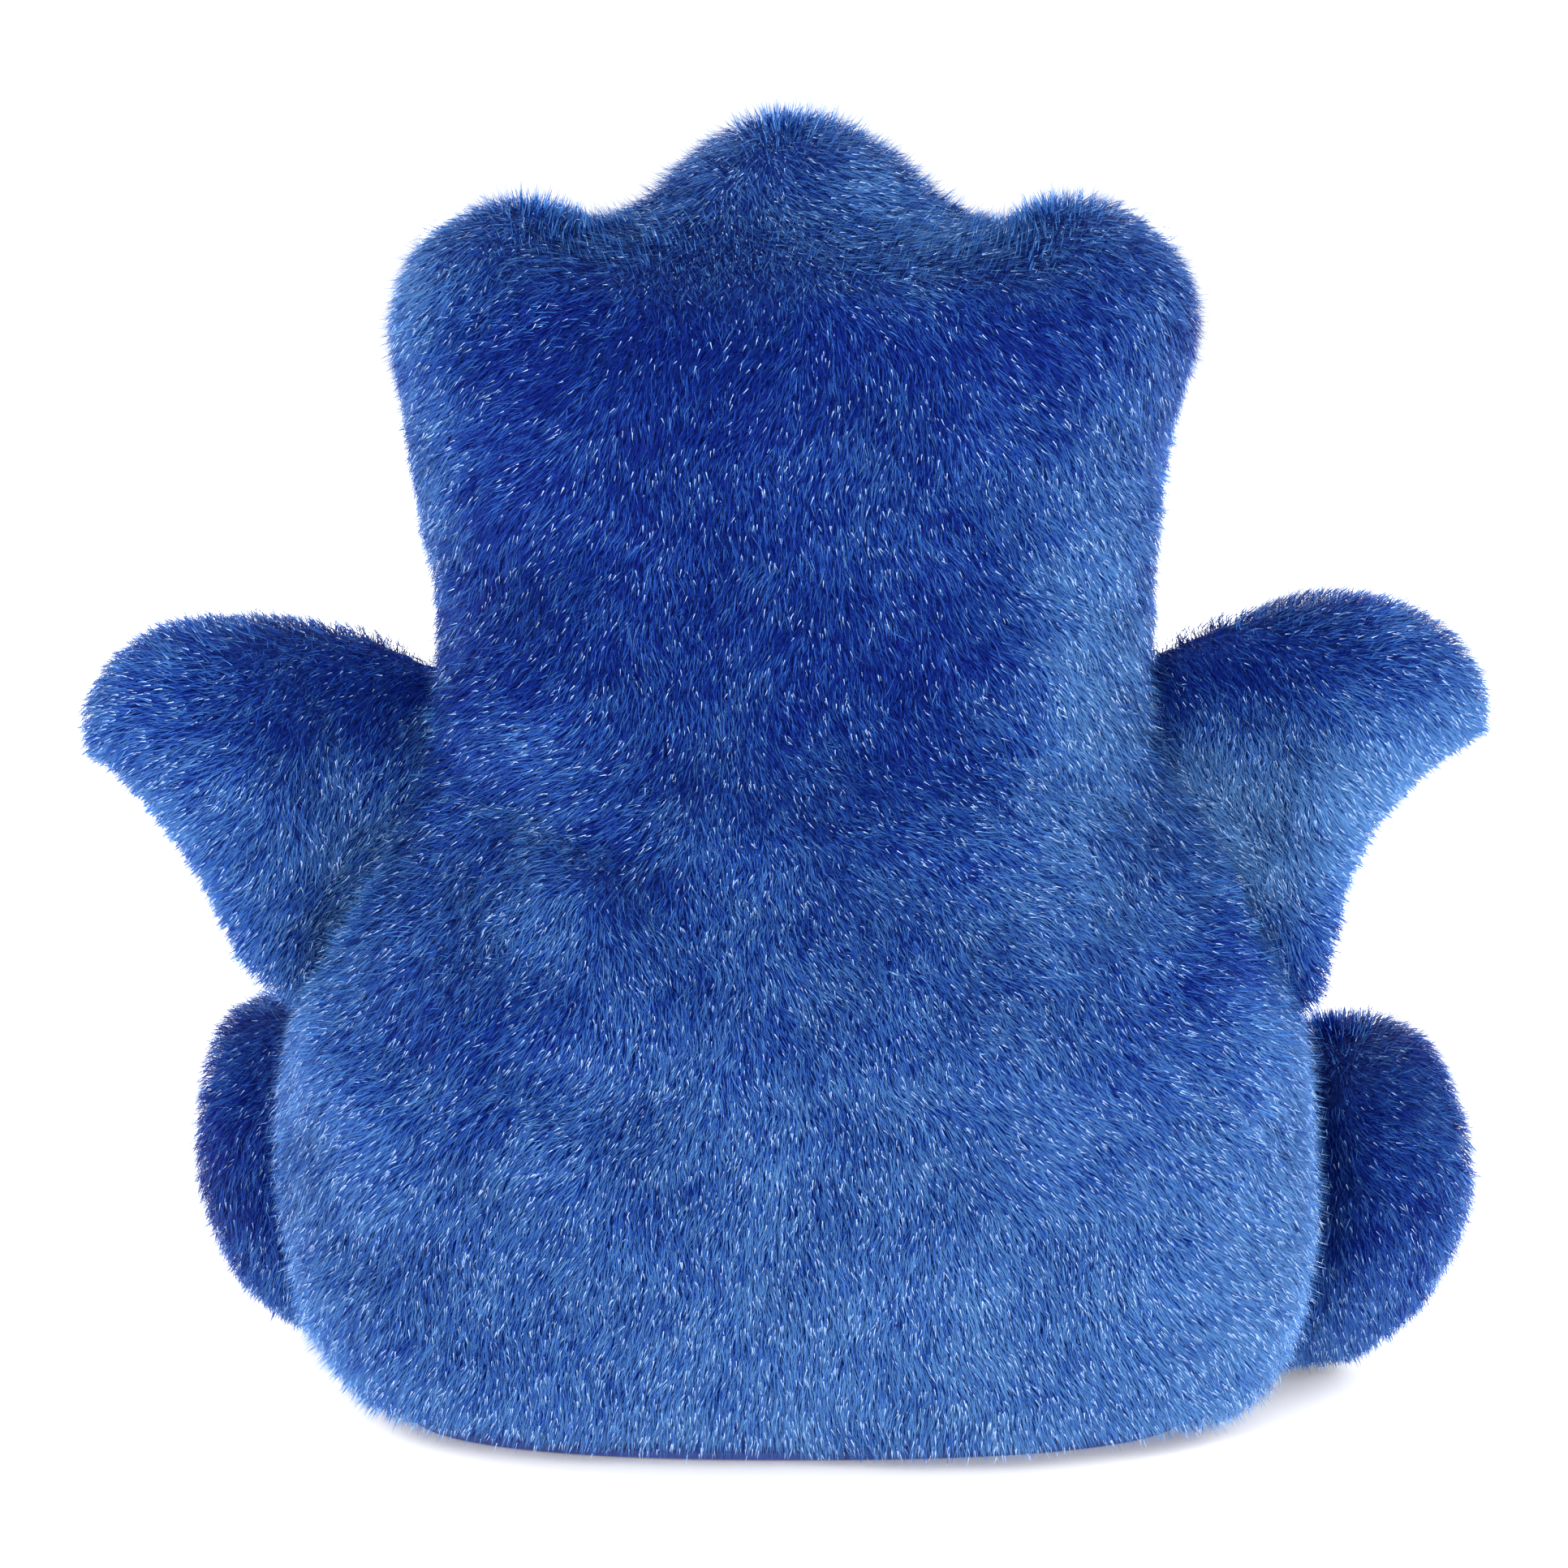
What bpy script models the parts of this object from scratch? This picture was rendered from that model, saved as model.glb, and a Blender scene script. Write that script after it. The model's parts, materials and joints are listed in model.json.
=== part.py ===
"""A moving mouth hand puppet: a plump plush creature that sits on the floor and faces -Y.

The skins, their stuffing, the sleeve for the hand, the mouth boards, the eyes and the limbs are
separate solids. Lengths are in millimetres, measured from the upright axis of the body, and MM
turns them into metres. FRAME_Y moves that axis so that the middle of the puppet is the origin.
"""

import math

import bmesh
import bpy
from mathutils import Vector

MM = 0.001
FRAME_Y = 15.0

# Cloth thicknesses and the gap that neighbouring pieces keep.
PILE = 4.0
LINING = 1.2
GAP = 0.3
LOOSE = 1.3
CROWN_LOOSE = 3.5

# The body: height, half width and half depth of its fur surface.
BODY_SECTIONS = [
    (0, 82, 47),
    (8, 89.5, 51.5),
    (22, 95.5, 55),
    (50, 98.5, 57),
    (77, 95, 56),
    (96, 86.5, 52),
    (113, 77, 46),
    (128, 70.5, 41),
    (143, 67.5, 38),
    (170, 68.5, 36.5),
]
SLEEVE_SECTIONS = [(0, 62, 33), (40, 67, 36), (90, 65, 36), (118, 60, 33), (150, 56, 28)]
OVAL_POWER = 2.4
SEAM_REACH = 8.0
BODY_BACK_TOP = 138.0
BODY_FRONT_TOP = 102.0
THROAT_TOP = 143.0
GUSSET_TOP = 169.0
GUSSET_ANGLES = (9.2, 42.0)
HEM_TOP = 3.0
HEM_WIDTH = 17.0

# The head: where it starts, where its top begins to round over, and the bumps on it.
HEAD_BOTTOM = 165.0
HEAD_SIDE_TOP = 204.0
HEAD_HALF_WIDTH = [(150, 67), (165, 68), (184, 70.5), (204, 75)]
HEAD_BACK_DEPTH = 37.0
HEAD_FRONT_DEPTH = 86.0
CROWN_POWER = 3.4
CROWN_HEIGHT = 226.0
SNOUT_HEIGHT = 211.0
SLOPE_START = 2.0
SLOPE_LENGTH = 32.0
DOME = (0.0, -12.0, 20.5, 26.0, 26.0, 1.8)
EYE_MOUND = (62.0, 5.0, 10.5, 19.0, 17.0, 1.5)
CROWN_LEAST = 1.0
CAP_SHARES = (0.66, 0.56, 0.46, 0.37, 0.28, 0.18, 0.07)
BACK_PANEL = (52.0, 128.0)
SIDE_REACH = 40.0

# The mouth: its hinge line, and the angles of the two boards at rest.
JAW_Y = 10.0
JAW_Z = 177.0
UPPER_TILT = 5.0
LOWER_TILT = -4.0
MOUTH_HALF_WIDTH = 57.0
MOUTH_LENGTH = 90.0
MOUTH_PLAY = 0.4
MOUTH_STRAIGHT = 8.0
LIP_ABOVE_BOARD = 1.0
BOARD = 2.0
FELT = 1.2
TONGUE = [(22, 9), (30, 14), (44, 16.5), (56, 15), (63, 9), (66, 2)]
TONGUE_THICK = 1.5
TAPE = (52.0, 1.8, 3.0, 3.5)
CHIN_START = 44.0
CHIN_SECTIONS = [(40, 27), (60, 26), (74, 22), (84, 14), (89, 6)]

# The joints' axes that are not on the body's surface.
NECK_Z = 152.0

# The arms, from the shoulder seam to the tip: the upper and lower edge on either side of the
# arm's middle line, and the half thickness.
ARM_EDGES = {
    "left": [
        (0.0, 31.0, -42.0),
        (8.0, 31.3, -40.0),
        (17.0, 30.5, -33.0),
        (27.0, 28.0, -24.0),
        (37.0, 24.0, -16.0),
        (45.0, 19.9, -12.3),
        (51.0, 13.5, -9.8),
        (54.5, 7.0, -7.0),
        (56.5, 1.0, -3.0),
    ],
    "right": [
        (0.0, 30.0, -45.0),
        (8.0, 30.5, -34.0),
        (17.0, 30.3, -24.0),
        (28.0, 29.0, -16.5),
        (37.0, 26.5, -13.0),
        (45.0, 22.0, -11.0),
        (51.0, 14.5, -9.5),
        (54.5, 7.0, -7.0),
        (56.5, 1.0, -3.0),
    ],
}
ARM_THICK = [
    (0.0, 0.8),
    (3.0, 4.0),
    (8.0, 10.0),
    (17.0, 17.0),
    (27.0, 20.0),
    (37.0, 19.5),
    (45.0, 16.5),
    (51.0, 11.5),
    (54.5, 6.5),
    (56.5, 2.0),
]
ARM_FILLED = (8.0, 51.0)
ARM_SEAM = {"left": (80.5, 116.5), "right": (80.0, 118.0)}
ARM_RISE = {"left": 21.0, "right": 24.0}
ARM_SHARE = {"left": 1.0, "right": 0.97}

# The legs: half width, half height and centre height along the leg, from the hip seam.
LEG_SECTIONS = [
    (1.8, 4.5, 4.5, 26.0),
    (5.0, 9.5, 10.5, 26.5),
    (10.0, 15.0, 18.0, 29.0),
    (15.0, 20.5, 24.5, 31.5),
    (21.0, 25.0, 33.5, 35.0),
    (29.0, 27.5, 35.5, 35.5),
    (36.0, 26.8, 34.7, 35.5),
    (41.5, 24.0, 31.8, 35.5),
]
SOLE = 3.5
HIP_HEIGHT = 26.0
HIP_ANGLE = {"left": -47.0, "right": -156.0}
LEG_SPLAY = {"left": (38.0, 58.0), "right": (56.0, 66.0)}
LEG_SHARE = {"left": 1.0, "right": 0.82}
LEG_BEND = 16.0

# The eyes: white felt disc, black eye on a stem, and the washer that locks the stem inside.
EYE_ANGLE = -9.5
EYE_SHARE = 0.8
EYE_DISC = (11.0, 1.5)
EYE_BEAD = (6.5, 4.2)
EYE_LIFT = 2.5
EYE_STEM = 2.3
EYE_STEM_LENGTH = 9.0
EYE_WASHER = (7.0, 1.6)
EYE_WASHER_AT = -7.6
EYE_RIM = 0.6
EYE_HOLE = 2.7
LEDGE = 0.01

BLUE_FUR = (0.03, 0.10, 0.47, 1)
STUFFING = (0.85, 0.86, 0.88, 1)
LINING_BLUE = (0.02, 0.05, 0.24, 1)
MOUTH_FELT = (0.02, 0.02, 0.05, 1)
TONGUE_FELT = (0.72, 0.12, 0.17, 1)
EYE_WHITE = (0.9, 0.9, 0.88, 1)
EYE_BLACK = (0.01, 0.01, 0.012, 1)
BOARD_GREY = (0.5, 0.5, 0.5, 1)


def clear_scene():
    for thing in list(bpy.data.objects):
        bpy.data.objects.remove(thing, do_unlink=True)


def material(name, colour, roughness):
    made = bpy.data.materials.new(name)
    made.use_nodes = True
    shader = made.node_tree.nodes["Principled BSDF"]
    shader.inputs["Base Color"].default_value = colour
    shader.inputs["Roughness"].default_value = roughness
    shader.inputs["Metallic"].default_value = 0.0
    return made


def smooth(table, at, column=1):
    """Read a table of rows sorted by their first value, on a smooth curve through its points."""
    last = len(table) - 1
    at = min(max(at, table[0][0]), table[last][0])
    i = max(k for k in range(last) if table[k][0] <= at)
    x0, x1 = table[i][0], table[i + 1][0]
    y0, y1 = table[i][column], table[i + 1][column]

    def slope(k):
        low, high = max(k - 1, 0), min(k + 1, last)
        return (table[high][column] - table[low][column]) / (table[high][0] - table[low][0])

    step = x1 - x0
    t = (at - x0) / step
    rise = (3 * t**2 - 2 * t**3) * (y1 - y0)
    start = (t**3 - 2 * t**2 + t) * step * slope(i)
    end = (t**3 - t**2) * step * slope(i + 1)
    return y0 + rise + start + end


def power_of(value, power):
    return math.copysign(abs(value) ** power, value)


def spread(start, end, count):
    return [start + (end - start) * i / (count - 1) for i in range(count)]


def add_pivot(name, place, parent=None):
    """An empty on a joint's axis. place is in millimetres from the body's axis."""
    pivot = bpy.data.objects.new(name, None)
    pivot.empty_display_size = 0.01
    bpy.context.scene.collection.objects.link(pivot)
    origin = Vector(parent["place"]) if parent else Vector((0, 0, 0))
    pivot.location = (Vector(place) - origin) * MM
    pivot.parent = parent
    pivot["place"] = place
    return pivot


def add_solid(name, points, faces, look, pivot, round_look=True):
    """A closed mesh from points in millimetres, hung on its joint's pivot."""
    origin = Vector(pivot["place"])
    mesh = bpy.data.meshes.new(name)
    mesh.from_pydata([(Vector(p) - origin) * MM for p in points], [], faces)
    body = bmesh.new()
    body.from_mesh(mesh)
    bmesh.ops.recalc_face_normals(body, faces=body.faces)
    body.to_mesh(mesh)
    body.free()
    mesh.materials.append(look)
    solid = bpy.data.objects.new(name, mesh)
    bpy.context.scene.collection.objects.link(solid)
    solid.parent = pivot
    if round_look:
        for face in mesh.polygons:
            face.use_smooth = True
    return solid


def add_panel(name, outer, inner, look, pivot, ring=False):
    """A sheet with two sides, outer and inner, which are grids of the same size."""
    rows, columns = len(outer), len(outer[0])
    points = [p for row in outer for p in row] + [p for row in inner for p in row]
    half = rows * columns
    wide = columns if ring else columns - 1
    faces = []
    for i in range(rows - 1):
        for j in range(wide):
            k = (j + 1) % columns
            a, b = i * columns + j, i * columns + k
            c, d = (i + 1) * columns + k, (i + 1) * columns + j
            faces.append((a, b, c, d))
            faces.append((a + half, d + half, c + half, b + half))
    for j in range(wide):
        k = (j + 1) % columns
        top = (rows - 1) * columns
        faces.append((j, j + half, k + half, k))
        faces.append((top + j, top + k, top + k + half, top + j + half))
    if not ring:
        for i in range(rows - 1):
            for j in (0, columns - 1):
                a, b = i * columns + j, (i + 1) * columns + j
                faces.append((a, b, b + half, a + half))
    return add_solid(name, points, faces, look, pivot)


def add_loft(name, rings, look, pivot):
    """A solid through closed rings of points, with flat ends."""
    columns = len(rings[0])
    points = [p for ring in rings for p in ring]
    faces = [tuple(range(columns)), tuple(range(len(points) - columns, len(points)))]
    for i in range(len(rings) - 1):
        for j in range(columns):
            k = (j + 1) % columns
            faces.append((i * columns + j, i * columns + k, (i + 1) * columns + k, (i + 1) * columns + j))
    return add_solid(name, points, faces, look, pivot)


def oval(half_width, half_depth, degrees):
    """A point of a squared oval, from +X at 0 degrees to +Y, the back, at 90."""
    turn = math.radians(degrees)
    x = half_width * power_of(math.cos(turn), 2 / OVAL_POWER)
    return x, half_depth * power_of(math.sin(turn), 2 / OVAL_POWER)


def body_point(degrees, height, inset):
    half_width = smooth(BODY_SECTIONS, height, 1) - inset
    half_depth = smooth(BODY_SECTIONS, height, 2) - inset
    return (*oval(half_width, half_depth, degrees), height)


def sleeve_point(degrees, height, outset):
    half_width = smooth(SLEEVE_SECTIONS, height, 1) + outset
    half_depth = smooth(SLEEVE_SECTIONS, height, 2) + outset
    return (*oval(half_width, half_depth, degrees), height)


def grid(surface, angles, heights, offset):
    return [[surface(angle, height, offset) for angle in angles] for height in heights]


def back_angles(count):
    return spread(-SEAM_REACH, 180 + SEAM_REACH, count)


def front_angles(count):
    trim = 0.35
    return spread(180 + SEAM_REACH + trim, 360 - SEAM_REACH - trim, count)


def make_body(root, looks):
    """The skins, the stuffing and the sleeve lining of the body, each a back and a front."""
    start = HEM_TOP + GAP
    sides = {
        "back": (back_angles(19), BODY_BACK_TOP, 11),
        "front": (front_angles(17), BODY_FRONT_TOP, 9),
    }
    for side, (angles, top, rows) in sides.items():
        skin = spread(start, top, rows)
        add_panel(
            f"body_{side}_skin",
            grid(body_point, angles, skin, 0),
            grid(body_point, angles, skin, PILE),
            looks["fur"],
            root,
        )
        inside = spread(start, top - 2, rows)
        add_panel(
            f"body_{side}_stuffing",
            grid(body_point, angles, inside, PILE + GAP),
            grid(sleeve_point, angles, inside, LINING + LOOSE),
            looks["stuffing"],
            root,
        )
        coarse = angles[::2]
        lined = spread(start, top - 4, 5)
        add_panel(
            f"sleeve_lining_{side}",
            grid(sleeve_point, coarse, lined, LINING),
            grid(sleeve_point, coarse, lined, 0),
            looks["lining"],
            root,
        )


def make_hem(root, looks):
    """The turned-in hem: the flat ring that the puppet sits on, round the way in for the hand."""
    angles = spread(0, 337.5, 16)
    outer = [[body_point(a, 0, 1.5) for a in angles], [(*body_point(a, 3, 0)[:2], HEM_TOP) for a in angles]]
    inner = [[(*body_point(a, 0, HEM_WIDTH)[:2], z) for a in angles] for z in (0, HEM_TOP)]
    add_panel("hem_band", outer, inner, looks["fur"], root, ring=True)


def make_neck(root, looks):
    """The soft neck behind and the throat in front, which fold as the head and the jaw move."""
    behind = spread(BODY_BACK_TOP + GAP, HEAD_BOTTOM - GAP, 4)
    before = spread(BODY_FRONT_TOP + GAP, THROAT_TOP, 5)
    pieces = {"neck_skin": (back_angles(17), behind), "throat_skin": (front_angles(15), before)}
    for name, (angles, heights) in pieces.items():
        outer = grid(body_point, angles, heights, 0)
        inner = grid(body_point, angles, heights, PILE)
        add_panel(name, outer, inner, looks["fur"], root)


def make_cheek_gussets(head, looks):
    """The folds of fur at the corners of the mouth, between the throat, the neck and the jaw."""
    heights = spread(THROAT_TOP + GAP, GUSSET_TOP, 4)
    near, far = GUSSET_ANGLES
    for side, angles in (("left", spread(-near, -far, 6)), ("right", spread(180 + near, 180 + far, 6))):
        outer = grid(body_point, angles, heights, 0)
        inner = grid(body_point, angles, heights, PILE)
        add_panel(f"cheek_{side}_gusset", outer, inner, looks["fur"], head)


def arm_point(side, along, degrees, inset):
    """A point of an arm's surface. 0 degrees is the arm's top, 90 its back."""
    sign = 1 if side == "left" else -1
    rise = math.radians(ARM_RISE[side])
    reach = along * ARM_SHARE[side]
    upper = smooth(ARM_EDGES[side], along, 1)
    lower = smooth(ARM_EDGES[side], along, 2)
    half_height = max((upper - lower) / 2 - inset, 0.5)
    half_thick = max(smooth(ARM_THICK, along) - inset, 0.25)
    turn = math.radians(degrees)
    up = (upper + lower) / 2 + half_height * math.cos(turn)
    seam_x, seam_z = ARM_SEAM[side]
    x = seam_x + reach * math.cos(rise) - up * math.sin(rise)
    z = seam_z + reach * math.sin(rise) + up * math.cos(rise)
    return sign * x, half_thick * math.sin(turn), z


def make_arm(side, pivot, looks):
    """A stuffed arm: a back panel, a front panel and its filling, sewn to the body at its seam."""
    stations = [s[0] for s in ARM_THICK]
    halves = {"back": spread(0.8, 179.2, 9), "front": spread(180.8, 359.2, 9)}
    for half, angles in halves.items():
        outer = [[arm_point(side, s, a, 0) for a in angles] for s in stations]
        inner = [[arm_point(side, s, a, PILE) for a in angles] for s in stations]
        trim_thin_wall(outer, inner, half)
        add_panel(f"arm_{side}_{half}", outer, inner, looks["fur"], pivot)
    angles = spread(0, 337.5, 16)
    filled = [s for s in stations if ARM_FILLED[0] <= s <= ARM_FILLED[1]]
    rings = [[arm_point(side, s, a, PILE + LOOSE) for a in angles] for s in filled]
    add_loft(f"arm_{side}_filling", rings, looks["stuffing"], pivot)


def trim_thin_wall(outer, inner, half):
    """Keep the two panels of a thin edge apart: neither crosses the arm's middle plane."""
    sign = 1 if half == "back" else -1
    for near, far in zip(outer, inner, strict=True):
        for j, (x, y, z) in enumerate(far):
            far[j] = (x, sign * max(sign * y, GAP / 2), z)
        for j, (x, y, z) in enumerate(near):
            near[j] = (x, sign * max(sign * y, GAP / 2 + 0.25), z)


def leg_centre(side, along):
    """The leg's centre line in plan, and its direction there: it bends outward to the foot."""
    sign = 1 if side == "left" else -1
    x, y, _ = body_point(HIP_ANGLE[side], HIP_HEIGHT, 0)
    first, last = LEG_SPLAY[side]
    along *= LEG_SHARE[side]
    steps = 24
    for i in range(steps):
        walked = along * (i + 0.5) / steps
        turn = math.radians(first + (last - first) * min(walked / LEG_BEND, 1))
        x += sign * math.sin(turn) * along / steps
        y -= math.cos(turn) * along / steps
    turn = math.radians(first + (last - first) * min(along / LEG_BEND, 1))
    return x, y, turn


def leg_point(side, along, degrees, inset):
    """A point of a leg's surface. 0 degrees is its outer side, 90 its top."""
    sign = 1 if side == "left" else -1
    x, y, turn = leg_centre(side, along)
    wide = max(smooth(LEG_SECTIONS, along, 1) - inset, 1)
    tall = max(smooth(LEG_SECTIONS, along, 2) - inset, 1)
    round_turn = math.radians(degrees)
    across = wide * math.cos(round_turn)
    z = smooth(LEG_SECTIONS, along, 3) + tall * math.sin(round_turn)
    return x + sign * across * math.cos(turn), y + across * math.sin(turn), max(z, 0)


def make_leg(side, pivot, looks):
    """A short stuffed leg that ends in an upright foot: two panels, a filling and a sole."""
    stations = [s[0] for s in LEG_SECTIONS]
    end = stations[-1]
    halves = {"upper": spread(0.8, 179.2, 11), "lower": spread(180.8, 359.2, 11)}
    for half, angles in halves.items():
        outer = [[leg_point(side, s, a, 0) for a in angles] for s in stations]
        inner = [[leg_point(side, s, a, PILE) for a in angles] for s in stations]
        add_panel(f"leg_{side}_{half}", outer, inner, looks["fur"], pivot)
    angles = spread(0, 340, 18)
    filled = stations[1:]
    rings = [[leg_point(side, s, a, PILE + LOOSE) for a in angles] for s in filled]
    add_loft(f"leg_{side}_filling", rings, looks["stuffing"], pivot)
    rings = [[sole_point(side, end + GAP + d, a, trim) for a in angles] for d, trim in ((0, 0.2), (SOLE, 2.5))]
    add_loft(f"foot_{side}_sole", rings, looks["fur"], pivot)


def sole_point(side, along, degrees, inset):
    """A point of the sole, which stands flat across the end of the foot."""
    sign = 1 if side == "left" else -1
    end = LEG_SECTIONS[-1]
    x, y, turn = leg_centre(side, along)
    round_turn = math.radians(degrees)
    across = (end[1] - inset) * math.cos(round_turn)
    z = end[3] + (end[2] - inset) * math.sin(round_turn)
    return x + sign * across * math.cos(turn), y + across * math.sin(turn), z


def crown(x, y):
    """Height of the head's top surface before it rounds over at its edge."""
    forward = min(max((-y - SLOPE_START) / SLOPE_LENGTH, 0), 1)
    height = CROWN_HEIGHT + (SNOUT_HEIGHT - CROWN_HEIGHT) * (3 * forward**2 - 2 * forward**3)
    return height + bump(x, y, DOME) + bump(abs(x), y, EYE_MOUND)


def bump(x, y, place):
    """A round bump: its middle, its rise, its width, its depth and how flat its top is."""
    middle_x, middle_y, rise, wide, deep, flat = place
    away = ((x - middle_x) / wide) ** 2 + ((y - middle_y) / deep) ** 2
    return rise * math.exp(-(away**flat))


def lip_height(y):
    """Height of the upper lip, just above the plane of the upper mouth board."""
    return JAW_Z + (JAW_Y - y) * math.tan(math.radians(UPPER_TILT)) + LIP_ABOVE_BOARD


def head_bottom(degrees):
    """Where a head panel starts: at the neck behind, at the upper lip in front."""
    y = oval(HEAD_FRONT_DEPTH, HEAD_FRONT_DEPTH, degrees)[1]
    if y > 0:
        return HEAD_BOTTOM
    share = min(-y / 14, 1)
    return HEAD_BOTTOM + (lip_height(y) - HEAD_BOTTOM) * share


def head_point(degrees, turn, inset):
    """A point of the head. turn runs 0 to 1 up the side and 1 to 2 over the top to its middle."""
    depth = HEAD_BACK_DEPTH if math.sin(math.radians(degrees)) >= 0 else HEAD_FRONT_DEPTH
    if turn <= 1:
        bottom = head_bottom(degrees)
        z = bottom + (HEAD_SIDE_TOP - bottom) * turn
        share, lift = 1.0, 0.0
    else:
        lean = math.radians(90 * (turn - 1))
        z = HEAD_SIDE_TOP
        share = power_of(math.cos(lean), 2 / CROWN_POWER)
        lift = power_of(math.sin(lean), 2 / CROWN_POWER)
    half_width = smooth(HEAD_HALF_WIDTH, z) - inset
    x, y = oval(half_width * share, (depth - inset) * share, degrees)
    return x, y, z + lift * max(crown(x, y) - inset - HEAD_SIDE_TOP, CROWN_LEAST)


def turn_at(share):
    """The turn at which the head's top has drawn in to a share of its width."""
    return 1 + math.degrees(math.acos(share ** (CROWN_POWER / 2))) / 90


def make_head_skins(pivot, looks):
    """The head's fur: a back panel, two side panels with the eye mounds, a snout and a dome."""
    low, high = BACK_PANEL
    trim = 0.25
    panels = {
        "head_back_skin": (spread(low + trim, high - trim, 8), 0.0),
        "head_side_left_skin": (spread(-SIDE_REACH + trim, low - trim, 11), 0.0),
        "head_side_right_skin": (spread(high + trim, 180 + SIDE_REACH - trim, 11), 0.0),
        "snout_skin": (spread(180 + SIDE_REACH + trim, 360 - SIDE_REACH - trim, 11), 0.0),
    }
    for name, (angles, start) in panels.items():
        turns = spread(start, 1, 4)[:-1] + spread(1, turn_at(CAP_SHARES[0]) - 0.01, 6)
        outer = [[head_point(a, t, 0) for a in angles] for t in turns]
        inner = [[head_point(a, t, PILE) for a in angles] for t in turns]
        add_panel(name, outer, inner, looks["fur"], pivot)
    angles = spread(0, 345, 24)
    turns = [turn_at(share) for share in CAP_SHARES]
    over = [[head_point(a, t, 0) for a in angles] for t in turns]
    under = [[head_point(a, t, PILE) for a in angles] for t in reversed(turns)]
    add_dome(over, under, looks["fur"], pivot)


def add_dome(over, under, look, pivot):
    """The dome's cap: its two sides meet at the rim, and each closes at its middle."""
    rings = over[::-1] + under[::-1]
    add_loft("dome_skin", rings, look, pivot)


def make_head_inside(pivot, looks):
    """The stuffing over the fingers, the padding behind them and the head's lining."""
    angles = spread(0, 345, 24)
    turns = [1, 1.1, 1.2, 1.35] + [turn_at(share) for share in CAP_SHARES]
    rings = [[head_point(a, t, PILE + CROWN_LOOSE) for a in angles] for t in turns]
    add_loft("crown_stuffing", rings, looks["stuffing"], pivot)
    behind = back_angles(13)
    turns = spread(0.02, 0.985, 4)
    layers = {
        "head_back_padding": (PILE + GAP, PILE + GAP + 4, "stuffing"),
        "head_lining": (PILE + 2 * GAP + 4, PILE + 2 * GAP + 4 + LINING, "lining"),
    }
    for name, (near, far, look) in layers.items():
        outer = [[head_point(max(min(a, 180), 0), t, near) for a in behind[1:-1]] for t in turns]
        inner = [[head_point(max(min(a, 180), 0), t, far) for a in behind[1:-1]] for t in turns]
        add_panel(name, outer, inner, looks[look], pivot)


def mouth_point(tilt, forward, across, above):
    """A point in a mouth board's own plane: forward from the hinge, across, and above it."""
    lean = math.radians(tilt)
    y = JAW_Y - forward * math.cos(lean) + above * math.sin(lean)
    return across, y, JAW_Z + forward * math.sin(lean) + above * math.cos(lean)


def mouth_half_width(forward, inset):
    """Half width of the mouth at a distance in front of its hinge: straight, then rounded."""
    reach = max(forward - MOUTH_STRAIGHT, 0) / (MOUTH_LENGTH - MOUTH_STRAIGHT - inset)
    return (MOUTH_HALF_WIDTH - inset) * max(1 - min(reach, 1) ** 2.4, 0) ** (1 / 2.4)


def board_outline(start, inset):
    end = MOUTH_LENGTH - inset - 0.2
    stations = [start, 14, 30, 46, 60, 70, 78, end - 3, end]
    right = [(s, mouth_half_width(s, inset)) for s in stations]
    return right + [(s, -w) for s, w in reversed(right)]


def add_sheet(name, tilt, outline, low, high, look, pivot):
    """A flat piece of a mouth board's outline, between two heights above its plane."""
    rings = [[mouth_point(tilt, s, w, level) for s, w in outline] for level in (low, high)]
    solid = add_loft(name, rings, look, pivot)
    for face in solid.data.polygons:
        face.use_smooth = False
    return solid


def make_mouth(head, jaw, looks):
    """Upper and lower mouth boards, their felt linings, the hinge tape and the tongue."""
    for part, pivot, tilt, sign in (("upper", head, UPPER_TILT, 1), ("lower", jaw, LOWER_TILT, -1)):
        felt = [sign * MOUTH_PLAY, sign * (MOUTH_PLAY + FELT)]
        board = [felt[1] + sign * GAP, felt[1] + sign * (GAP + BOARD)]
        outline = board_outline(1.0, 1.0)
        add_sheet(f"{part}_mouth_lining", tilt, outline, *felt, looks["mouth"], pivot)
        outline = board_outline(3.0, PILE + 1.0)
        add_sheet(f"{part}_mouth_board", tilt, outline, *board, looks["board"], pivot)
    outline = TONGUE + [(s, -w) for s, w in reversed(TONGUE)]
    low = GAP - MOUTH_PLAY
    add_sheet("tongue", LOWER_TILT, outline, low, low + TONGUE_THICK, looks["tongue"], jaw)
    make_hinge_tape(head, looks)


def make_hinge_tape(head, looks):
    """The cloth tape that joins the two boards behind the fold of the mouth."""
    half_width, near, far, reach = TAPE
    near, far = JAW_Y + near, JAW_Y + far
    low, high = JAW_Z - reach, JAW_Z + reach
    rings = [
        [(x, near, low), (x, far, low), (x, far, high), (x, near, high)]
        for x in spread(-half_width, half_width, 5)
    ]
    add_loft("mouth_hinge_tape", rings, looks["lining"], head)


def make_chin(jaw, looks):
    """The jaw's fur: a trough under the lower board, closed at the lip, open behind."""
    angles = spread(0, -180, 15)
    stations = [CHIN_START, 54, 64, 73, 80, 85, 88.5]
    rim = -(MOUTH_PLAY + FELT + GAP)

    def chin_point(forward, degrees, inset):
        turn = math.radians(degrees)
        across = mouth_half_width(forward, 0) - inset
        deep = smooth(CHIN_SECTIONS, forward) - inset
        side = max(across, 1) * power_of(math.cos(turn), 2 / OVAL_POWER)
        below = rim + max(deep, 1) * power_of(math.sin(turn), 2 / OVAL_POWER)
        return mouth_point(LOWER_TILT, forward, side, below)

    outer = [[chin_point(s, a, 0) for a in angles] for s in stations]
    inner = [[chin_point(s, a, PILE) for a in angles] for s in stations]
    add_panel("chin_skin", outer, inner, looks["fur"], jaw)


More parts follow.
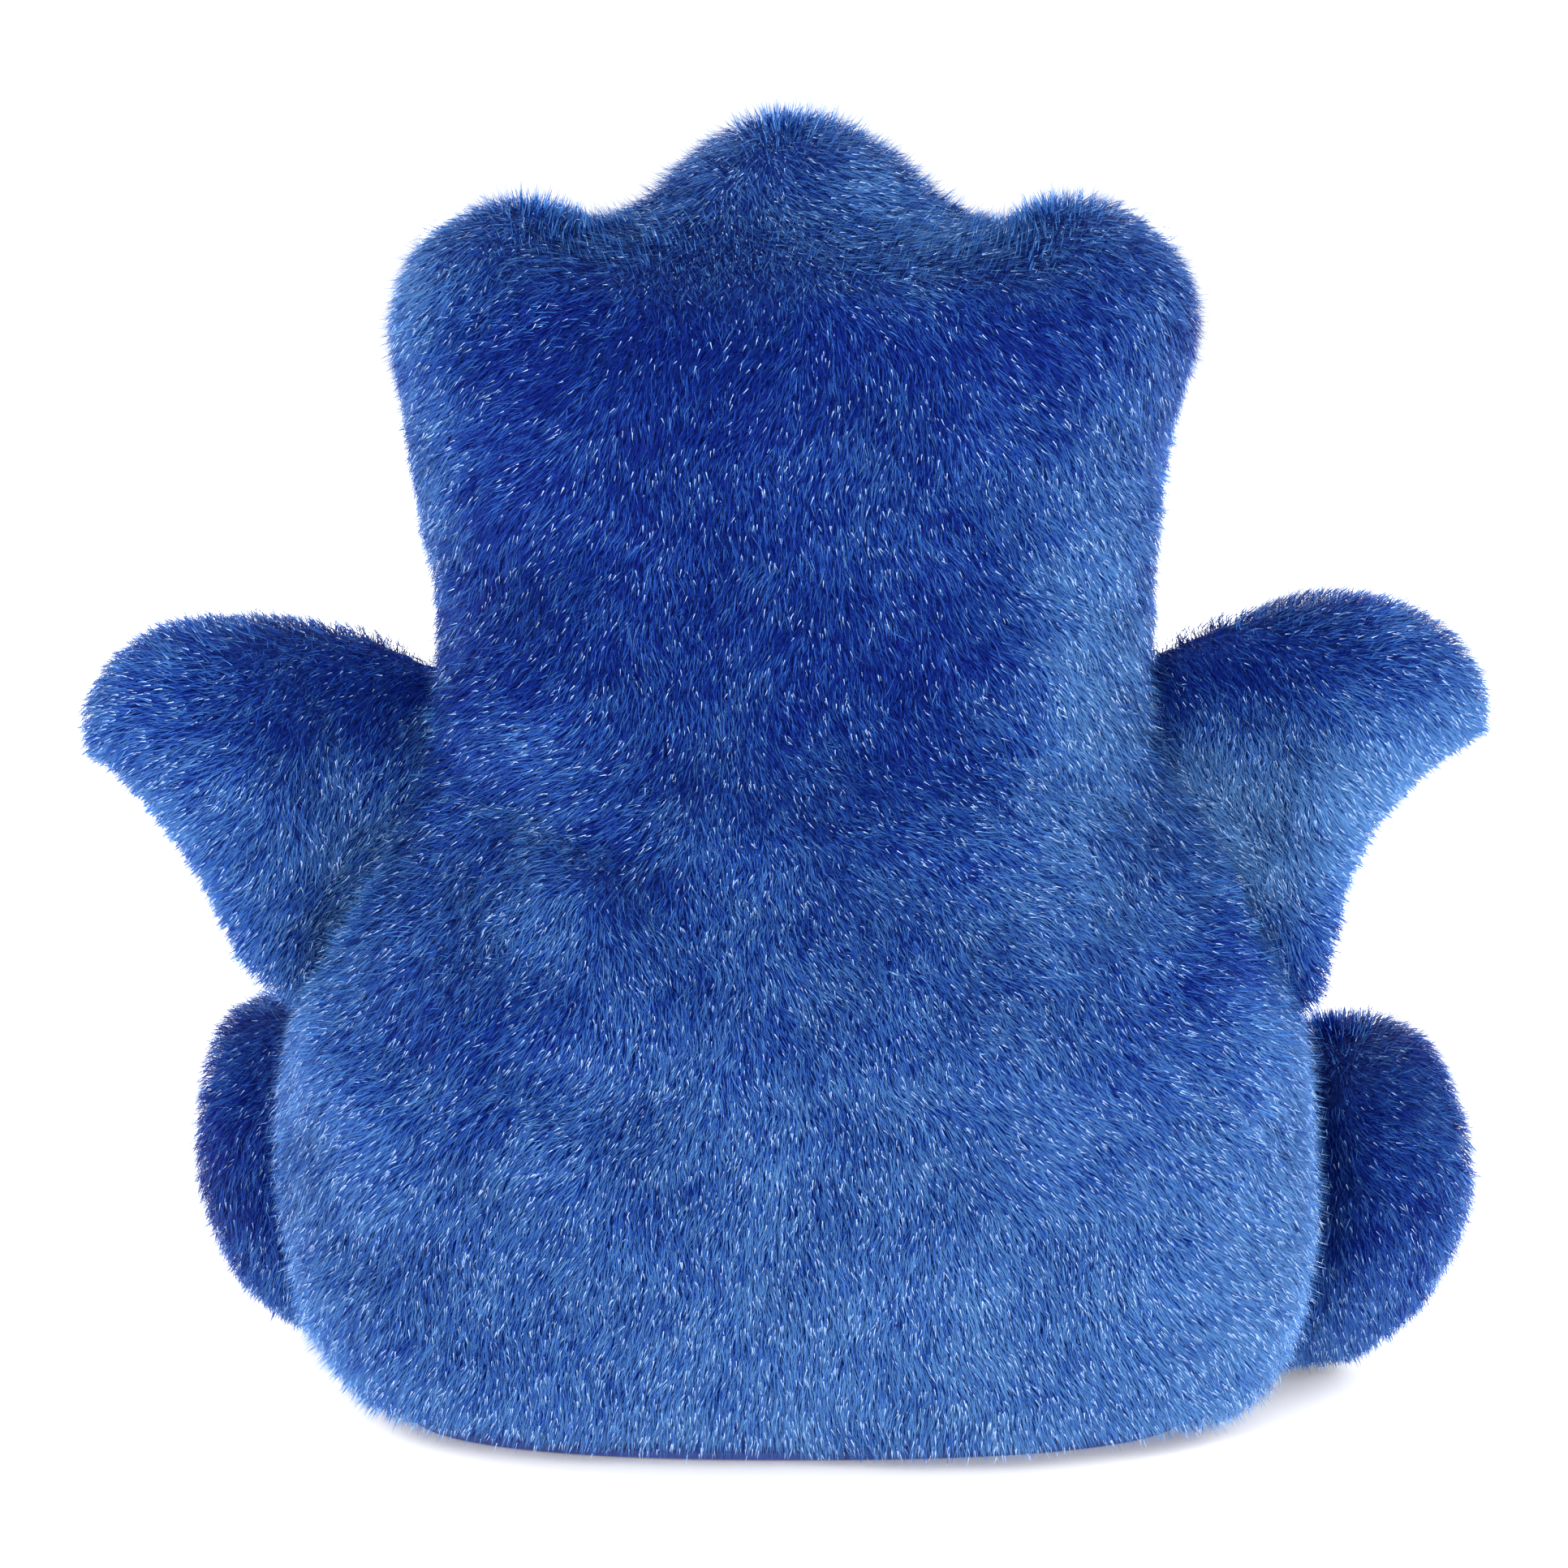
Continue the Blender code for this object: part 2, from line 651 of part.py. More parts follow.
def pocket_ring(tilt, forward, half_width, low, high):
    """One ring of a flat pocket, with its corners cut."""
    corner = min(5.0, (high - low) / 3)
    places = [
        (half_width, low + corner),
        (half_width, high - corner),
        (half_width - corner, high),
        (0, high),
        (corner - half_width, high),
        (-half_width, high - corner),
        (-half_width, low + corner),
        (corner - half_width, low),
        (0, low),
        (half_width - corner, low),
    ]
    return [mouth_point(tilt, forward, across, above) for across, above in places]


def make_pockets(head, jaw, looks):
    """The pocket for four fingers above the mouth and the pocket for the thumb below it."""
    base = MOUTH_PLAY + FELT + GAP + BOARD + GAP
    fingers = [
        (6.0, 50.0, base, base + 21.5),
        (30.0, 49.0, base, base + 19.5),
        (52.0, 43.0, base, base + 17.0),
        (68.0, 32.0, base, base + 14.5),
        (77.0, 18.0, base, base + 12.0),
    ]
    thumb = [
        (14.0, 20.0, -base - 18.0, -base),
        (40.0, 20.0, -base - 18.0, -base),
        (62.0, 17.0, -base - 15.0, -base),
        (74.0, 11.0, -base - 11.0, -base),
    ]
    add_open_pocket("finger_pocket", UPPER_TILT, fingers, looks["lining"], head)
    add_open_pocket("thumb_pocket", LOWER_TILT, thumb, looks["lining"], jaw)


def add_open_pocket(name, tilt, sections, look, pivot):
    outer = [pocket_ring(tilt, *section) for section in sections]
    inner = []
    for k, (forward, half_width, low, high) in enumerate(sections):
        back = LINING if k == len(sections) - 1 else 0
        ring = pocket_ring(tilt, forward - back, half_width - LINING, low + LINING, high - LINING)
        inner.append(ring)
    columns = len(outer[0])
    rings = inner[::-1] + outer
    points = [p for ring in rings for p in ring]
    faces = [tuple(range(columns)), tuple(range(len(points) - columns, len(points)))]
    for i in range(len(rings) - 1):
        for j in range(columns):
            k = (j + 1) % columns
            faces.append((i * columns + j, i * columns + k, (i + 1) * columns + k, (i + 1) * columns + j))
    add_solid(name, points, faces, look, pivot)


def eye_frame(sign):
    """Where an eye sits on its mound, the way it faces, and two directions across it."""
    degrees = EYE_ANGLE if sign > 0 else 180 - EYE_ANGLE
    turn = turn_at(EYE_SHARE)
    place = Vector(head_point(degrees, turn, 0))
    along = Vector(head_point(degrees + 1.5, turn, 0)) - Vector(head_point(degrees - 1.5, turn, 0))
    over = Vector(head_point(degrees, turn + 0.04, 0)) - Vector(head_point(degrees, turn - 0.04, 0))
    facing = along.cross(over).normalized()
    if facing.y > 0:
        facing = -facing
    across = facing.cross(Vector((0, 0, 1))).normalized()
    return place, facing, across, across.cross(facing).normalized()


def eye_ring(frame, radius, out, count=16):
    place, facing, across, up = frame
    ring = []
    for i in range(count):
        turn = 2 * math.pi * i / count
        ring.append(place + facing * out + (across * math.cos(turn) + up * math.sin(turn)) * radius)
    return ring


def cut_round_hole(solid, frame, radius, low, high, pivot):
    """Cut a round hole through a solid along an eye's stem."""
    rings = [eye_ring(frame, radius, low), eye_ring(frame, radius, high)]
    cutter = add_loft(f"{solid.name}_cutter_{len(solid.modifiers)}", rings, solid.data.materials[0], pivot)
    cutter.hide_render = True
    cutter.display_type = "WIRE"
    cut = solid.modifiers.new("eye hole", "BOOLEAN")
    cut.operation = "DIFFERENCE"
    cut.object = cutter


def make_eye(side, head, looks):
    """One eye: a felt disc, a black eye with its stem through the fur, and the lock washer."""
    sign = 1 if side == "left" else -1
    frame = eye_frame(sign)
    radius, thick = EYE_DISC
    low = EYE_LIFT
    disc_outer = [eye_ring(frame, radius, low), eye_ring(frame, radius - 0.4, low + thick)]
    disc_inner = [eye_ring(frame, EYE_HOLE, low), eye_ring(frame, EYE_HOLE, low + thick)]
    add_panel(f"eye_{side}_felt", disc_outer, disc_inner, looks["eye_white"], head, ring=True)
    bead, rise = EYE_BEAD
    base = low + thick + GAP
    rings = [eye_ring(frame, EYE_STEM, base - EYE_STEM_LENGTH - low - thick), eye_ring(frame, EYE_STEM, base)]
    rings.append(eye_ring(frame, bead, base + LEDGE))
    for lean in (20, 45, 68, 84):
        turn = math.radians(lean)
        rings.append(eye_ring(frame, bead * math.cos(turn), base + EYE_RIM + rise * math.sin(turn)))
    add_loft(f"eye_{side}_bead", rings, looks["eye_black"], head)
    washer, washer_thick = EYE_WASHER
    at = EYE_WASHER_AT
    outer = [eye_ring(frame, washer, at - d) for d in (0, washer_thick)]
    inner = [eye_ring(frame, EYE_HOLE - 0.1, at - d) for d in (0, washer_thick)]
    add_panel(f"eye_{side}_washer", outer, inner, looks["eye_white"], head, ring=True)
    skin = bpy.data.objects[f"head_side_{side}_skin"]
    cut_round_hole(skin, frame, EYE_HOLE, -PILE - 4, low + 3, head)
    stuffing = bpy.data.objects["crown_stuffing"]
    cut_round_hole(stuffing, frame, washer + 0.6, -EYE_STEM_LENGTH - 4, 2.0, head)


def make_looks():
    return {
        "fur": material("blue_fur", BLUE_FUR, 0.9),
        "stuffing": material("white_stuffing", STUFFING, 0.95),
        "lining": material("blue_lining", LINING_BLUE, 0.8),
        "mouth": material("dark_mouth_felt", MOUTH_FELT, 0.95),
        "tongue": material("red_felt", TONGUE_FELT, 0.95),
        "eye_white": material("white_felt", EYE_WHITE, 0.9),
        "eye_black": material("black_gloss", EYE_BLACK, 0.12),
        "board": material("grey_board", BOARD_GREY, 0.6),
    }


def make_pivots():
    """An empty on each joint's axis, all under the empty on the body's axis."""
    pivots = {"root": add_pivot("root_frame", (0, 0, 0))}
    pivots["root"].location = (0, FRAME_Y * MM, 0)
    pivots["head"] = add_pivot("head_pivot", (0, 0, NECK_Z), pivots["root"])
    pivots["jaw"] = add_pivot("jaw_pivot", (0, JAW_Y, JAW_Z), pivots["head"])
    for side, sign in (("left", 1), ("right", -1)):
        seam_x, seam_z = ARM_SEAM[side]
        pivots[f"arm_{side}"] = add_pivot(f"arm_{side}_pivot", (sign * seam_x, 0, seam_z), pivots["root"])
        hip = body_point(HIP_ANGLE[side], HIP_HEIGHT, 0)
        pivots[f"leg_{side}"] = add_pivot(f"leg_{side}_pivot", hip, pivots["root"])
    return pivots


def main():
    clear_scene()
    looks = make_looks()
    pivots = make_pivots()
    make_body(pivots["root"], looks)
    make_hem(pivots["root"], looks)
    make_neck(pivots["root"], looks)
    make_cheek_gussets(pivots["head"], looks)
    make_head_skins(pivots["head"], looks)
    make_head_inside(pivots["head"], looks)
    make_mouth(pivots["head"], pivots["jaw"], looks)
    make_chin(pivots["jaw"], looks)
    make_pockets(pivots["head"], pivots["jaw"], looks)
    for side in ("left", "right"):
        make_arm(side, pivots[f"arm_{side}"], looks)
        make_leg(side, pivots[f"leg_{side}"], looks)
        make_eye(side, pivots["head"], looks)


main()
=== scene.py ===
"""The looks of the moving mouth hand puppet: plush skins with their pile, felt mouth and eyes.

Shapes are in millimetres from the upright axis of the body, as in the CAD source. to_world()
turns them into the frame's metres. The puppet sits on the floor, faces -Y, and its left is +X.
"""

import json
import math

import bmesh
import bpy
import numpy as np
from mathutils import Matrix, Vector

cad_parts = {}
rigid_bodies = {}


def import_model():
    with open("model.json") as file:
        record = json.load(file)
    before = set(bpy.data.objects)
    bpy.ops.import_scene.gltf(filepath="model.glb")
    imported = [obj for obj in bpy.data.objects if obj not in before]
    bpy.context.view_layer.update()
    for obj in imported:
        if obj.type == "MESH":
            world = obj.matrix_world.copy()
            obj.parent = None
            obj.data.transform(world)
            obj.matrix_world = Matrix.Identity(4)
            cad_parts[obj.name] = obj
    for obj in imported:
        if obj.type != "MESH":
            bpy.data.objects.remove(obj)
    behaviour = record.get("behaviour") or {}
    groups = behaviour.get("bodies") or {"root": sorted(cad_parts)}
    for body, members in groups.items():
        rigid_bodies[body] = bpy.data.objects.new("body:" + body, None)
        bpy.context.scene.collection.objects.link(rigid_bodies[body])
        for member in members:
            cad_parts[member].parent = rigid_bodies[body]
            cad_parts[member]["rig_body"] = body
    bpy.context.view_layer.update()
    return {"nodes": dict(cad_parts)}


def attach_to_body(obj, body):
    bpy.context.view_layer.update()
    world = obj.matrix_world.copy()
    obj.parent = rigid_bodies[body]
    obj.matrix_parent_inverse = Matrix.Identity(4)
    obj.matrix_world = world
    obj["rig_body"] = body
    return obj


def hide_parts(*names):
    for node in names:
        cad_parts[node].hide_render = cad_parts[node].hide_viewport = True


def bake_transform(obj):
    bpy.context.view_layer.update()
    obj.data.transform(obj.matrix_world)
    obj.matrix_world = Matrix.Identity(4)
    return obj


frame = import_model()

MM = 0.001
FRAME_Y = 15.0
SIDES = {"left": 1, "right": -1}

# The fur surface of the CAD model, repeated here so that the skins lie just inside it.
# Sections by height: half width and half depth.
BODY_SECTIONS = [
    (0, 82, 47), (8, 89.5, 51.5), (22, 95.5, 55), (50, 98.5, 57), (77, 95, 56),
    (96, 86.5, 52), (113, 77, 46), (128, 69.5, 41), (143, 67.0, 38), (170, 69.8, 36.5),
]
SLEEVE_SECTIONS = [(0, 62, 33), (40, 67, 36), (90, 65, 36), (118, 60, 33), (150, 56, 28)]
OVAL_POWER = 2.4
HEAD_BOTTOM = 165.0
HEAD_SIDE_TOP = 204.0
HEAD_HALF_WIDTH = [(150, 68.1), (165, 69.8), (184, 72), (204, 75.3)]
HEAD_BACK_DEPTH = 37.0
HEAD_FRONT_DEPTH = 86.0
CROWN_POWER = 3.4
CROWN_HEIGHT = 226.0
SNOUT_HEIGHT = 211.0
SLOPE_START = 2.0
SLOPE_LENGTH = 32.0
DOME = (1.7, -12.0, 21.0, 22.6, 26.0, 1.8)
EYE_MOUND = (63.0, 5.0, 11.5, 19.5, 17.0, 1.5)
JAW_Y = 10.0
JAW_Z = 177.0
UPPER_TILT = 5.0
LOWER_TILT = -4.0
MOUTH_HALF_WIDTH = 57.0
MOUTH_LENGTH = 90.0
CHIN_SECTIONS = [(4, 30), (40, 27), (60, 26), (74, 22), (84, 14), (89, 6)]
THROAT_TOP = 143.0
SEAT_ROUNDING = {"middle": 8.0, "left": 8.5, "right": -2.5}
HEAD_LEAN = 1.3

# An arm by the distance from its seam: its upper and lower edge, then its half thickness.
ARM_EDGES = {
    "left": [
        (-12, 30, -43), (0, 32.3, -42), (8, 32.3, -40), (17, 31, -32.5), (27, 28, -23),
        (37, 24, -15), (45, 19.9, -11.5), (51, 13.5, -9.8), (54.5, 7, -7), (56.5, 1, -3),
    ],
    "right": [
        (-12, 30, -46), (0, 32.5, -45), (8, 32.5, -34), (17, 31.3, -23.5), (28, 29, -15),
        (37, 26.2, -11.5), (45, 21.5, -9.5), (51, 14.5, -9.5), (54.5, 7, -7), (56.5, 1, -3),
    ],
}
ARM_THICK = [
    (-12, 7), (0, 8), (8, 12), (17, 17.5), (27, 20),
    (37, 19.5), (45, 16.5), (51, 11.5), (54.5, 6.5), (56.5, 2),
]
ARM_STATIONS = [-12, -6, 0, 4, 8, 13, 17, 22, 27, 32, 37, 41, 45, 48, 51, 53, 54.5]
ARM_GROWTH = 0.9
ARM_LIFT = {"left": 0.9, "right": 1.5}
# Painted light on the arms' lower part: the height where it starts, the height below which it
# fades, and how much lighter.
ARM_LIGHT_FROM = {"left": 140.0, "right": 143.0}
ARM_FADE = {"left": 84.0, "right": 106.0}
ARM_PAINTED_LIGHT = {"left": 0.35, "right": 0.68}
ARM_SEAM = {"left": (80.5, 116.5), "right": (80.0, 118.0)}
ARM_RISE = {"left": 21.0, "right": 24.0}
ARM_SHARE = {"left": 0.985, "right": 0.93}

# A leg by the distance from its hip seam: its half width, half height and middle height.
FOOT_SECTIONS = [(36.0, 27.3, 35.2, 35.5), (41.5, 25.8, 33.6, 35.5), (45.0, 21.5, 29.0, 35.5)]
LEG_SECTIONS = {
    "left": [
        (-3.0, 13.0, 16.0, 27.0), (1.8, 15.0, 19.0, 28.0), (5.0, 17.0, 23.0, 29.0),
        (10.0, 20.0, 27.0, 30.5), (15.0, 22.5, 30.5, 32.5), (21.0, 25.0, 33.5, 35.0),
        (29.0, 27.5, 35.5, 35.5), *FOOT_SECTIONS,
    ],
    "right": [
        (-3.0, 16.0, 20.0, 28.0), (1.8, 21.0, 26.0, 28.5), (5.0, 25.0, 30.0, 30.5),
        (10.0, 28.0, 33.5, 33.5), (15.0, 29.0, 35.0, 35.0), (21.0, 28.5, 35.3, 35.4),
        (29.0, 28.0, 35.5, 35.5), *FOOT_SECTIONS,
    ],
}
LEG_STATIONS = [-3, 1.8, 5, 10, 15, 21, 26, 31, 36, 40, 43, 44.5]
HIP_HEIGHT = 26.0
HIP_ANGLE = {"left": -47.0, "right": -156.0}
LEG_SPLAY = {"left": (38.0, 58.0), "right": (56.0, 66.0)}
LEG_SHARE = {"left": 1.02, "right": 0.785}
LEG_BEND = 16.0
FOOT_TUCK_FROM = 43.0
FOOT_TUCK = {"left": 10.0, "right": 14.0}
FOOT_FLARE = {"left": 4.0, "right": -1.0}
EYE_ANGLE = -9.5
EYE_SHARE = 0.8
EYE_SINK = 1.4
EYE_CLEAR_RADIUS = 8.6

# The heights between which the neck's pile forms pieces of its own.
NECK_BEND = (132.0, 170.0)

# The pile: how deep the skins lie in it, its strands' length and width, and how it leans.
SKIN_DEPTH = 3.4
STRAND_LENGTH = 5.8
JAW_STRAND_LENGTH = 5.6
STRAND_HALF_WIDTH = (0.10, 0.09)
ROOT_ANGLE = 60.0
TIP_ANGLE = 28.0
ROOT_SHARE = 0.45
PARTING = 0.45
STRAY_SHARE = 0.2
GLINT_ROOT_SHARE = 0.74
DENSITY = 4.8
FRONT_SHARE = 0.78
# How many strands get a painted highlight at their tip: a base share, and more where the tone is
# lighter.
GLINTS = (0.011, 0.17)
CLUMP_CELL = 2.0
CLUMP_PULL = 0.22
STRANDS_PER_PIECE = 66000
FLOOR_CLEARANCE = 1.6
# The fibres' tones from deep to light, then a painted rim light for stray tips at the outline, then
# a painted highlight for the glints.
TONES = [
    (0.001, 0.006, 0.130), (0.002, 0.014, 0.195), (0.005, 0.031, 0.255),
    (0.012, 0.063, 0.340), (0.026, 0.104, 0.395), (0.050, 0.150, 0.410),
    (0.085, 0.225, 0.500), (0.075, 0.280, 0.700), (0.340, 0.500, 0.780),
]
RIM_LIGHT_TONE = len(TONES) - 2
GLINT = len(TONES) - 1

rng = np.random.default_rng(41)


# ---- Shapes


def smooth(table, at, column=1):
    """Read a table of rows sorted by their first value, on a smooth curve through its points."""
    last = len(table) - 1
    at = min(max(at, table[0][0]), table[last][0])
    i = max(k for k in range(last) if table[k][0] <= at)
    x0, x1 = table[i][0], table[i + 1][0]
    y0, y1 = table[i][column], table[i + 1][column]

    def slope(k):
        low, high = max(k - 1, 0), min(k + 1, last)
        return (table[high][column] - table[low][column]) / (table[high][0] - table[low][0])

    step = x1 - x0
    t = (at - x0) / step
    rise = (3 * t**2 - 2 * t**3) * (y1 - y0)
    start = (t**3 - 2 * t**2 + t) * step * slope(i)
    end = (t**3 - t**2) * step * slope(i + 1)
    return y0 + rise + start + end


def spread(start, end, count):
    return [start + (end - start) * i / (count - 1) for i in range(count)]


def power_of(value, power):
    return math.copysign(abs(value) ** power, value)


def oval(half_width, half_depth, degrees):
    """A point of a squared oval, from +X at 0 degrees to +Y, the back, at 90."""
    turn = math.radians(degrees)
    x = half_width * power_of(math.cos(turn), 2 / OVAL_POWER)
    return x, half_depth * power_of(math.sin(turn), 2 / OVAL_POWER)


def section_point(sections, degrees, height, outset):
    half_width, half_depth = (smooth(sections, height, k) + outset for k in (1, 2))
    return (*oval(half_width, half_depth, degrees), height)


def body_point(degrees, height, inset):
    return section_point(BODY_SECTIONS, degrees, height, -inset)


def bump(x, y, place):
    """A round bump: its middle, its rise, its width, its depth and how flat its top is."""
    middle_x, middle_y, rise, wide, deep, flat = place
    away = ((x - middle_x) / wide) ** 2 + ((y - middle_y) / deep) ** 2
    return rise * math.exp(-(away**flat))


def crown(x, y):
    """Height of the head's top surface before it rounds over at its edge."""
    forward = min(max((-y - SLOPE_START) / SLOPE_LENGTH, 0), 1)
    height = CROWN_HEIGHT + (SNOUT_HEIGHT - CROWN_HEIGHT) * (3 * forward**2 - 2 * forward**3)
    return height + bump(x, y, DOME) + bump(abs(x), y, EYE_MOUND)


def head_bottom(degrees):
    """Height of the head's lower edge: in front it rises to the plane of the upper lip."""
    y = oval(HEAD_FRONT_DEPTH, HEAD_FRONT_DEPTH, degrees)[1]
    if y > 0:
        return HEAD_BOTTOM
    lip = JAW_Z + (JAW_Y - y) * math.tan(math.radians(UPPER_TILT)) + 1.0
    return HEAD_BOTTOM + (lip - HEAD_BOTTOM) * min(-y / 14, 1)


def head_point(degrees, turn, inset):
    """A point of the head. turn runs 0 to 1 up the side and 1 to 2 over the top to its middle."""
    depth = HEAD_BACK_DEPTH if math.sin(math.radians(degrees)) >= 0 else HEAD_FRONT_DEPTH
    if turn <= 1:
        bottom = head_bottom(degrees)
        z = bottom + (HEAD_SIDE_TOP - bottom) * turn
        share, lift = 1.0, 0.0
    else:
        over = math.radians(90 * (turn - 1))
        z = HEAD_SIDE_TOP
        share = power_of(math.cos(over), 2 / CROWN_POWER)
        lift = power_of(math.sin(over), 2 / CROWN_POWER)
    half_width = smooth(HEAD_HALF_WIDTH, z) - inset
    x, y = oval(half_width * share, (depth - inset) * share, degrees)
    return x, y, z + lift * (crown(x, y) - inset - HEAD_SIDE_TOP)


def turn_at(share):
    """The turn at which the head's top has drawn in to a share of its width."""
    return 1 + math.degrees(math.acos(share ** (CROWN_POWER / 2))) / 90


def mouth_point(tilt, forward, across, above):
    """A point in a mouth board's own plane: forward from the hinge, across, and above it."""
    turn = math.radians(tilt)
    y = JAW_Y - forward * math.cos(turn) + above * math.sin(turn)
    return across, y, JAW_Z + forward * math.sin(turn) + above * math.cos(turn)


def mouth_half_width(forward, inset):
    """Half width of the mouth at a distance in front of its hinge: straight, then rounded."""
    reach = max(forward - 8, 0) / (MOUTH_LENGTH - 8 - inset)
    return (MOUTH_HALF_WIDTH - inset) * max(1 - min(reach, 1) ** 2.4, 0) ** (1 / 2.4)


def chin_point(forward, degrees, inset):
    """A point of the jaw: 0 and 180 degrees are its lips, 90 its underside."""
    turn = math.radians(degrees)
    cheek = 9 * max(1 - forward / 40, 0) ** 2
    across = mouth_half_width(forward, 0) + cheek - inset
    deep = smooth(CHIN_SECTIONS, forward) - inset
    side = max(across, 1) * power_of(math.cos(turn), 2 / OVAL_POWER)
    below = -1.9 - max(deep, 1) * power_of(math.sin(turn), 2 / OVAL_POWER)
    return mouth_point(LOWER_TILT, forward, side, below)


def arm_point(side, along, degrees, inset):
    """A point of an arm's surface. 0 degrees is the arm's top, 90 its back."""
    rise = math.radians(ARM_RISE[side])
    reach = along * ARM_SHARE[side]
    upper, lower = (smooth(ARM_EDGES[side], along, k) for k in (1, 2))
    half_height = max((upper - lower) / 2 + ARM_GROWTH - inset, 0.5)
    half_thick = max(smooth(ARM_THICK, along) - inset, 0.25)
    turn = math.radians(degrees)
    up = (upper + lower) / 2 + ARM_LIFT[side] + half_height * math.cos(turn)
    seam_x, seam_z = ARM_SEAM[side]
    x = seam_x + reach * math.cos(rise) - up * math.sin(rise)
    z = seam_z + reach * math.sin(rise) + up * math.cos(rise)
    return SIDES[side] * x, half_thick * math.sin(turn), z


def leg_centre(side, along):
    """The leg's centre line in plan, and its direction there: it bends outward to the foot."""
    x, y, _ = body_point(HIP_ANGLE[side], HIP_HEIGHT, 0)
    first, last = LEG_SPLAY[side]
    along *= LEG_SHARE[side]

    def direction(walked):
        return math.radians(first + (last - first) * min(max(walked / LEG_BEND, 0), 1))

    steps = 24
    for i in range(steps):
        turn = direction(along * (i + 0.5) / steps)
        x += SIDES[side] * math.sin(turn) * along / steps
        y -= math.cos(turn) * along / steps
    return x, y, direction(along)


def foot_tuck(side, z):
    """How far a foot's lower part is tucked in toward the body, in millimetres along X."""
    low = max((FOOT_TUCK_FROM - z) / FOOT_TUCK_FROM, 0)
    high = max((z - FOOT_TUCK_FROM) / 30, 0)
    return SIDES[side] * (FOOT_TUCK[side] * low**1.5 - FOOT_FLARE[side] * min(high, 1))


def leg_point(side, along, degrees, inset):
    """A point of a leg's surface. 0 degrees is its outer side, 90 its top."""
    x, y, turn = leg_centre(side, along)
    wide, tall = (max(smooth(LEG_SECTIONS[side], along, k) - inset, 1) for k in (1, 2))
    round_turn = math.radians(degrees)
    z = smooth(LEG_SECTIONS[side], along, 3) + tall * math.sin(round_turn)
    across = wide * math.cos(round_turn)
    x += SIDES[side] * across * math.cos(turn) - foot_tuck(side, z)
    return x, y + across * math.sin(turn), max(z, 0.5)


def to_world(points):
    """Millimetres from the body's axis, as an array, to the frame's metres."""
    return (np.asarray(points, float) + (0, FRAME_Y, 0)) * MM


def to_axis(points):
    return np.asarray(points, float) / MM - (0, FRAME_Y, 0)


# ---- Meshes


def link(name, data):
    thing = bpy.data.objects.new(name, data)
    bpy.context.scene.collection.objects.link(thing)
    return thing


def mesh_object(name, points, faces, look):
    """A mesh from points in millimetres, its faces turned outwards."""
    mesh = bpy.data.meshes.new(name)
    mesh.from_pydata([tuple(p) for p in to_world(points)], [], faces)
    body = bmesh.new()
    body.from_mesh(mesh)
    bmesh.ops.recalc_face_normals(body, faces=body.faces)
    body.to_mesh(mesh)
    body.free()
    mesh.shade_smooth()
    mesh.materials.append(look)
    return link(name, mesh)


def grid_faces(rows, columns, around=False):
    """Faces between rows of points; around joins each row's last point to its first."""
    faces = []
    for i in range(rows - 1):
        a, b = i * columns, (i + 1) * columns
        for j in range(columns if around else columns - 1):
            k = (j + 1) % columns
            faces.append((a + j, a + k, b + k, b + j))
    return faces


def grid_object(name, rows, look, thickness, around=False):
    """A sheet of cloth or felt through rows of points, with a thickness in millimetres."""
    points = [p for row in rows for p in row]
    sheet = mesh_object(name, points, grid_faces(len(rows), len(rows[0]), around), look)
    return changed(sheet, "SOLIDIFY", thickness=thickness * MM, offset=0)


def loft_object(name, rings_list, look):
    """Closed shells in one mesh, each through its own list of rings of equal size."""
    points, faces = [], []
    for rings in rings_list:
        base, columns = len(points), len(rings[0])
        points += [p for ring in rings for p in ring]
        faces.append(tuple(range(base, base + columns)))
        faces.append(tuple(range(len(points) - columns, len(points))))
        sides = grid_faces(len(rings), columns, True)
        faces += [tuple(base + corner for corner in face) for face in sides]
    return mesh_object(name, points, faces, look)


def read(mesh, what):
    """The co or normal of every vertex."""
    flat = np.zeros(len(mesh.vertices) * 3)
    mesh.vertices.foreach_get(what, flat)
    return flat.reshape(-1, 3)


def set_coordinates(mesh, points):
    mesh.vertices.foreach_set("co", np.ascontiguousarray(points, dtype=np.float32).ravel())
    mesh.update()


def reshape(thing, shaped):
    """Move a mesh's points: shaped takes them in millimetres with their normals."""
    mesh = thing.data
    points = shaped(to_axis(read(mesh, "co")), read(mesh, "normal"))
    set_coordinates(mesh, to_world(points))


def evaluated_copy(thing):
    """The mesh with its modifiers applied."""
    graph = bpy.context.evaluated_depsgraph_get()
    return bpy.data.meshes.new_from_object(thing.evaluated_get(graph))


def changed(thing, kind, **settings):
    """Apply one modifier with these settings."""
    change = thing.modifiers.new("change", kind)
    for key, value in settings.items():
        setattr(change, key, value)
    made = evaluated_copy(thing)
    thing.modifiers.clear()
    old = thing.data
    thing.data = made
    bpy.data.meshes.remove(old)
    return thing


def remesh(thing, voxel, rounds):
    """Make one even skin, then relax it."""
    changed(thing, "REMESH", mode="VOXEL", voxel_size=voxel * MM, use_smooth_shade=True)
    return changed(thing, "SMOOTH", iterations=rounds, factor=0.5)


def subdivide(thing):
    changed(thing, "SUBSURF", levels=1, render_levels=1)
    thing.data.shade_smooth()


STUFFING = {
    "vertex_group_mass": "seams", "use_pressure": True, "uniform_pressure_force": 4.0,
    "quality": 4, "tension_stiffness": 12, "bending_stiffness": 0.8,
}
STUFFING_FRAMES = 16


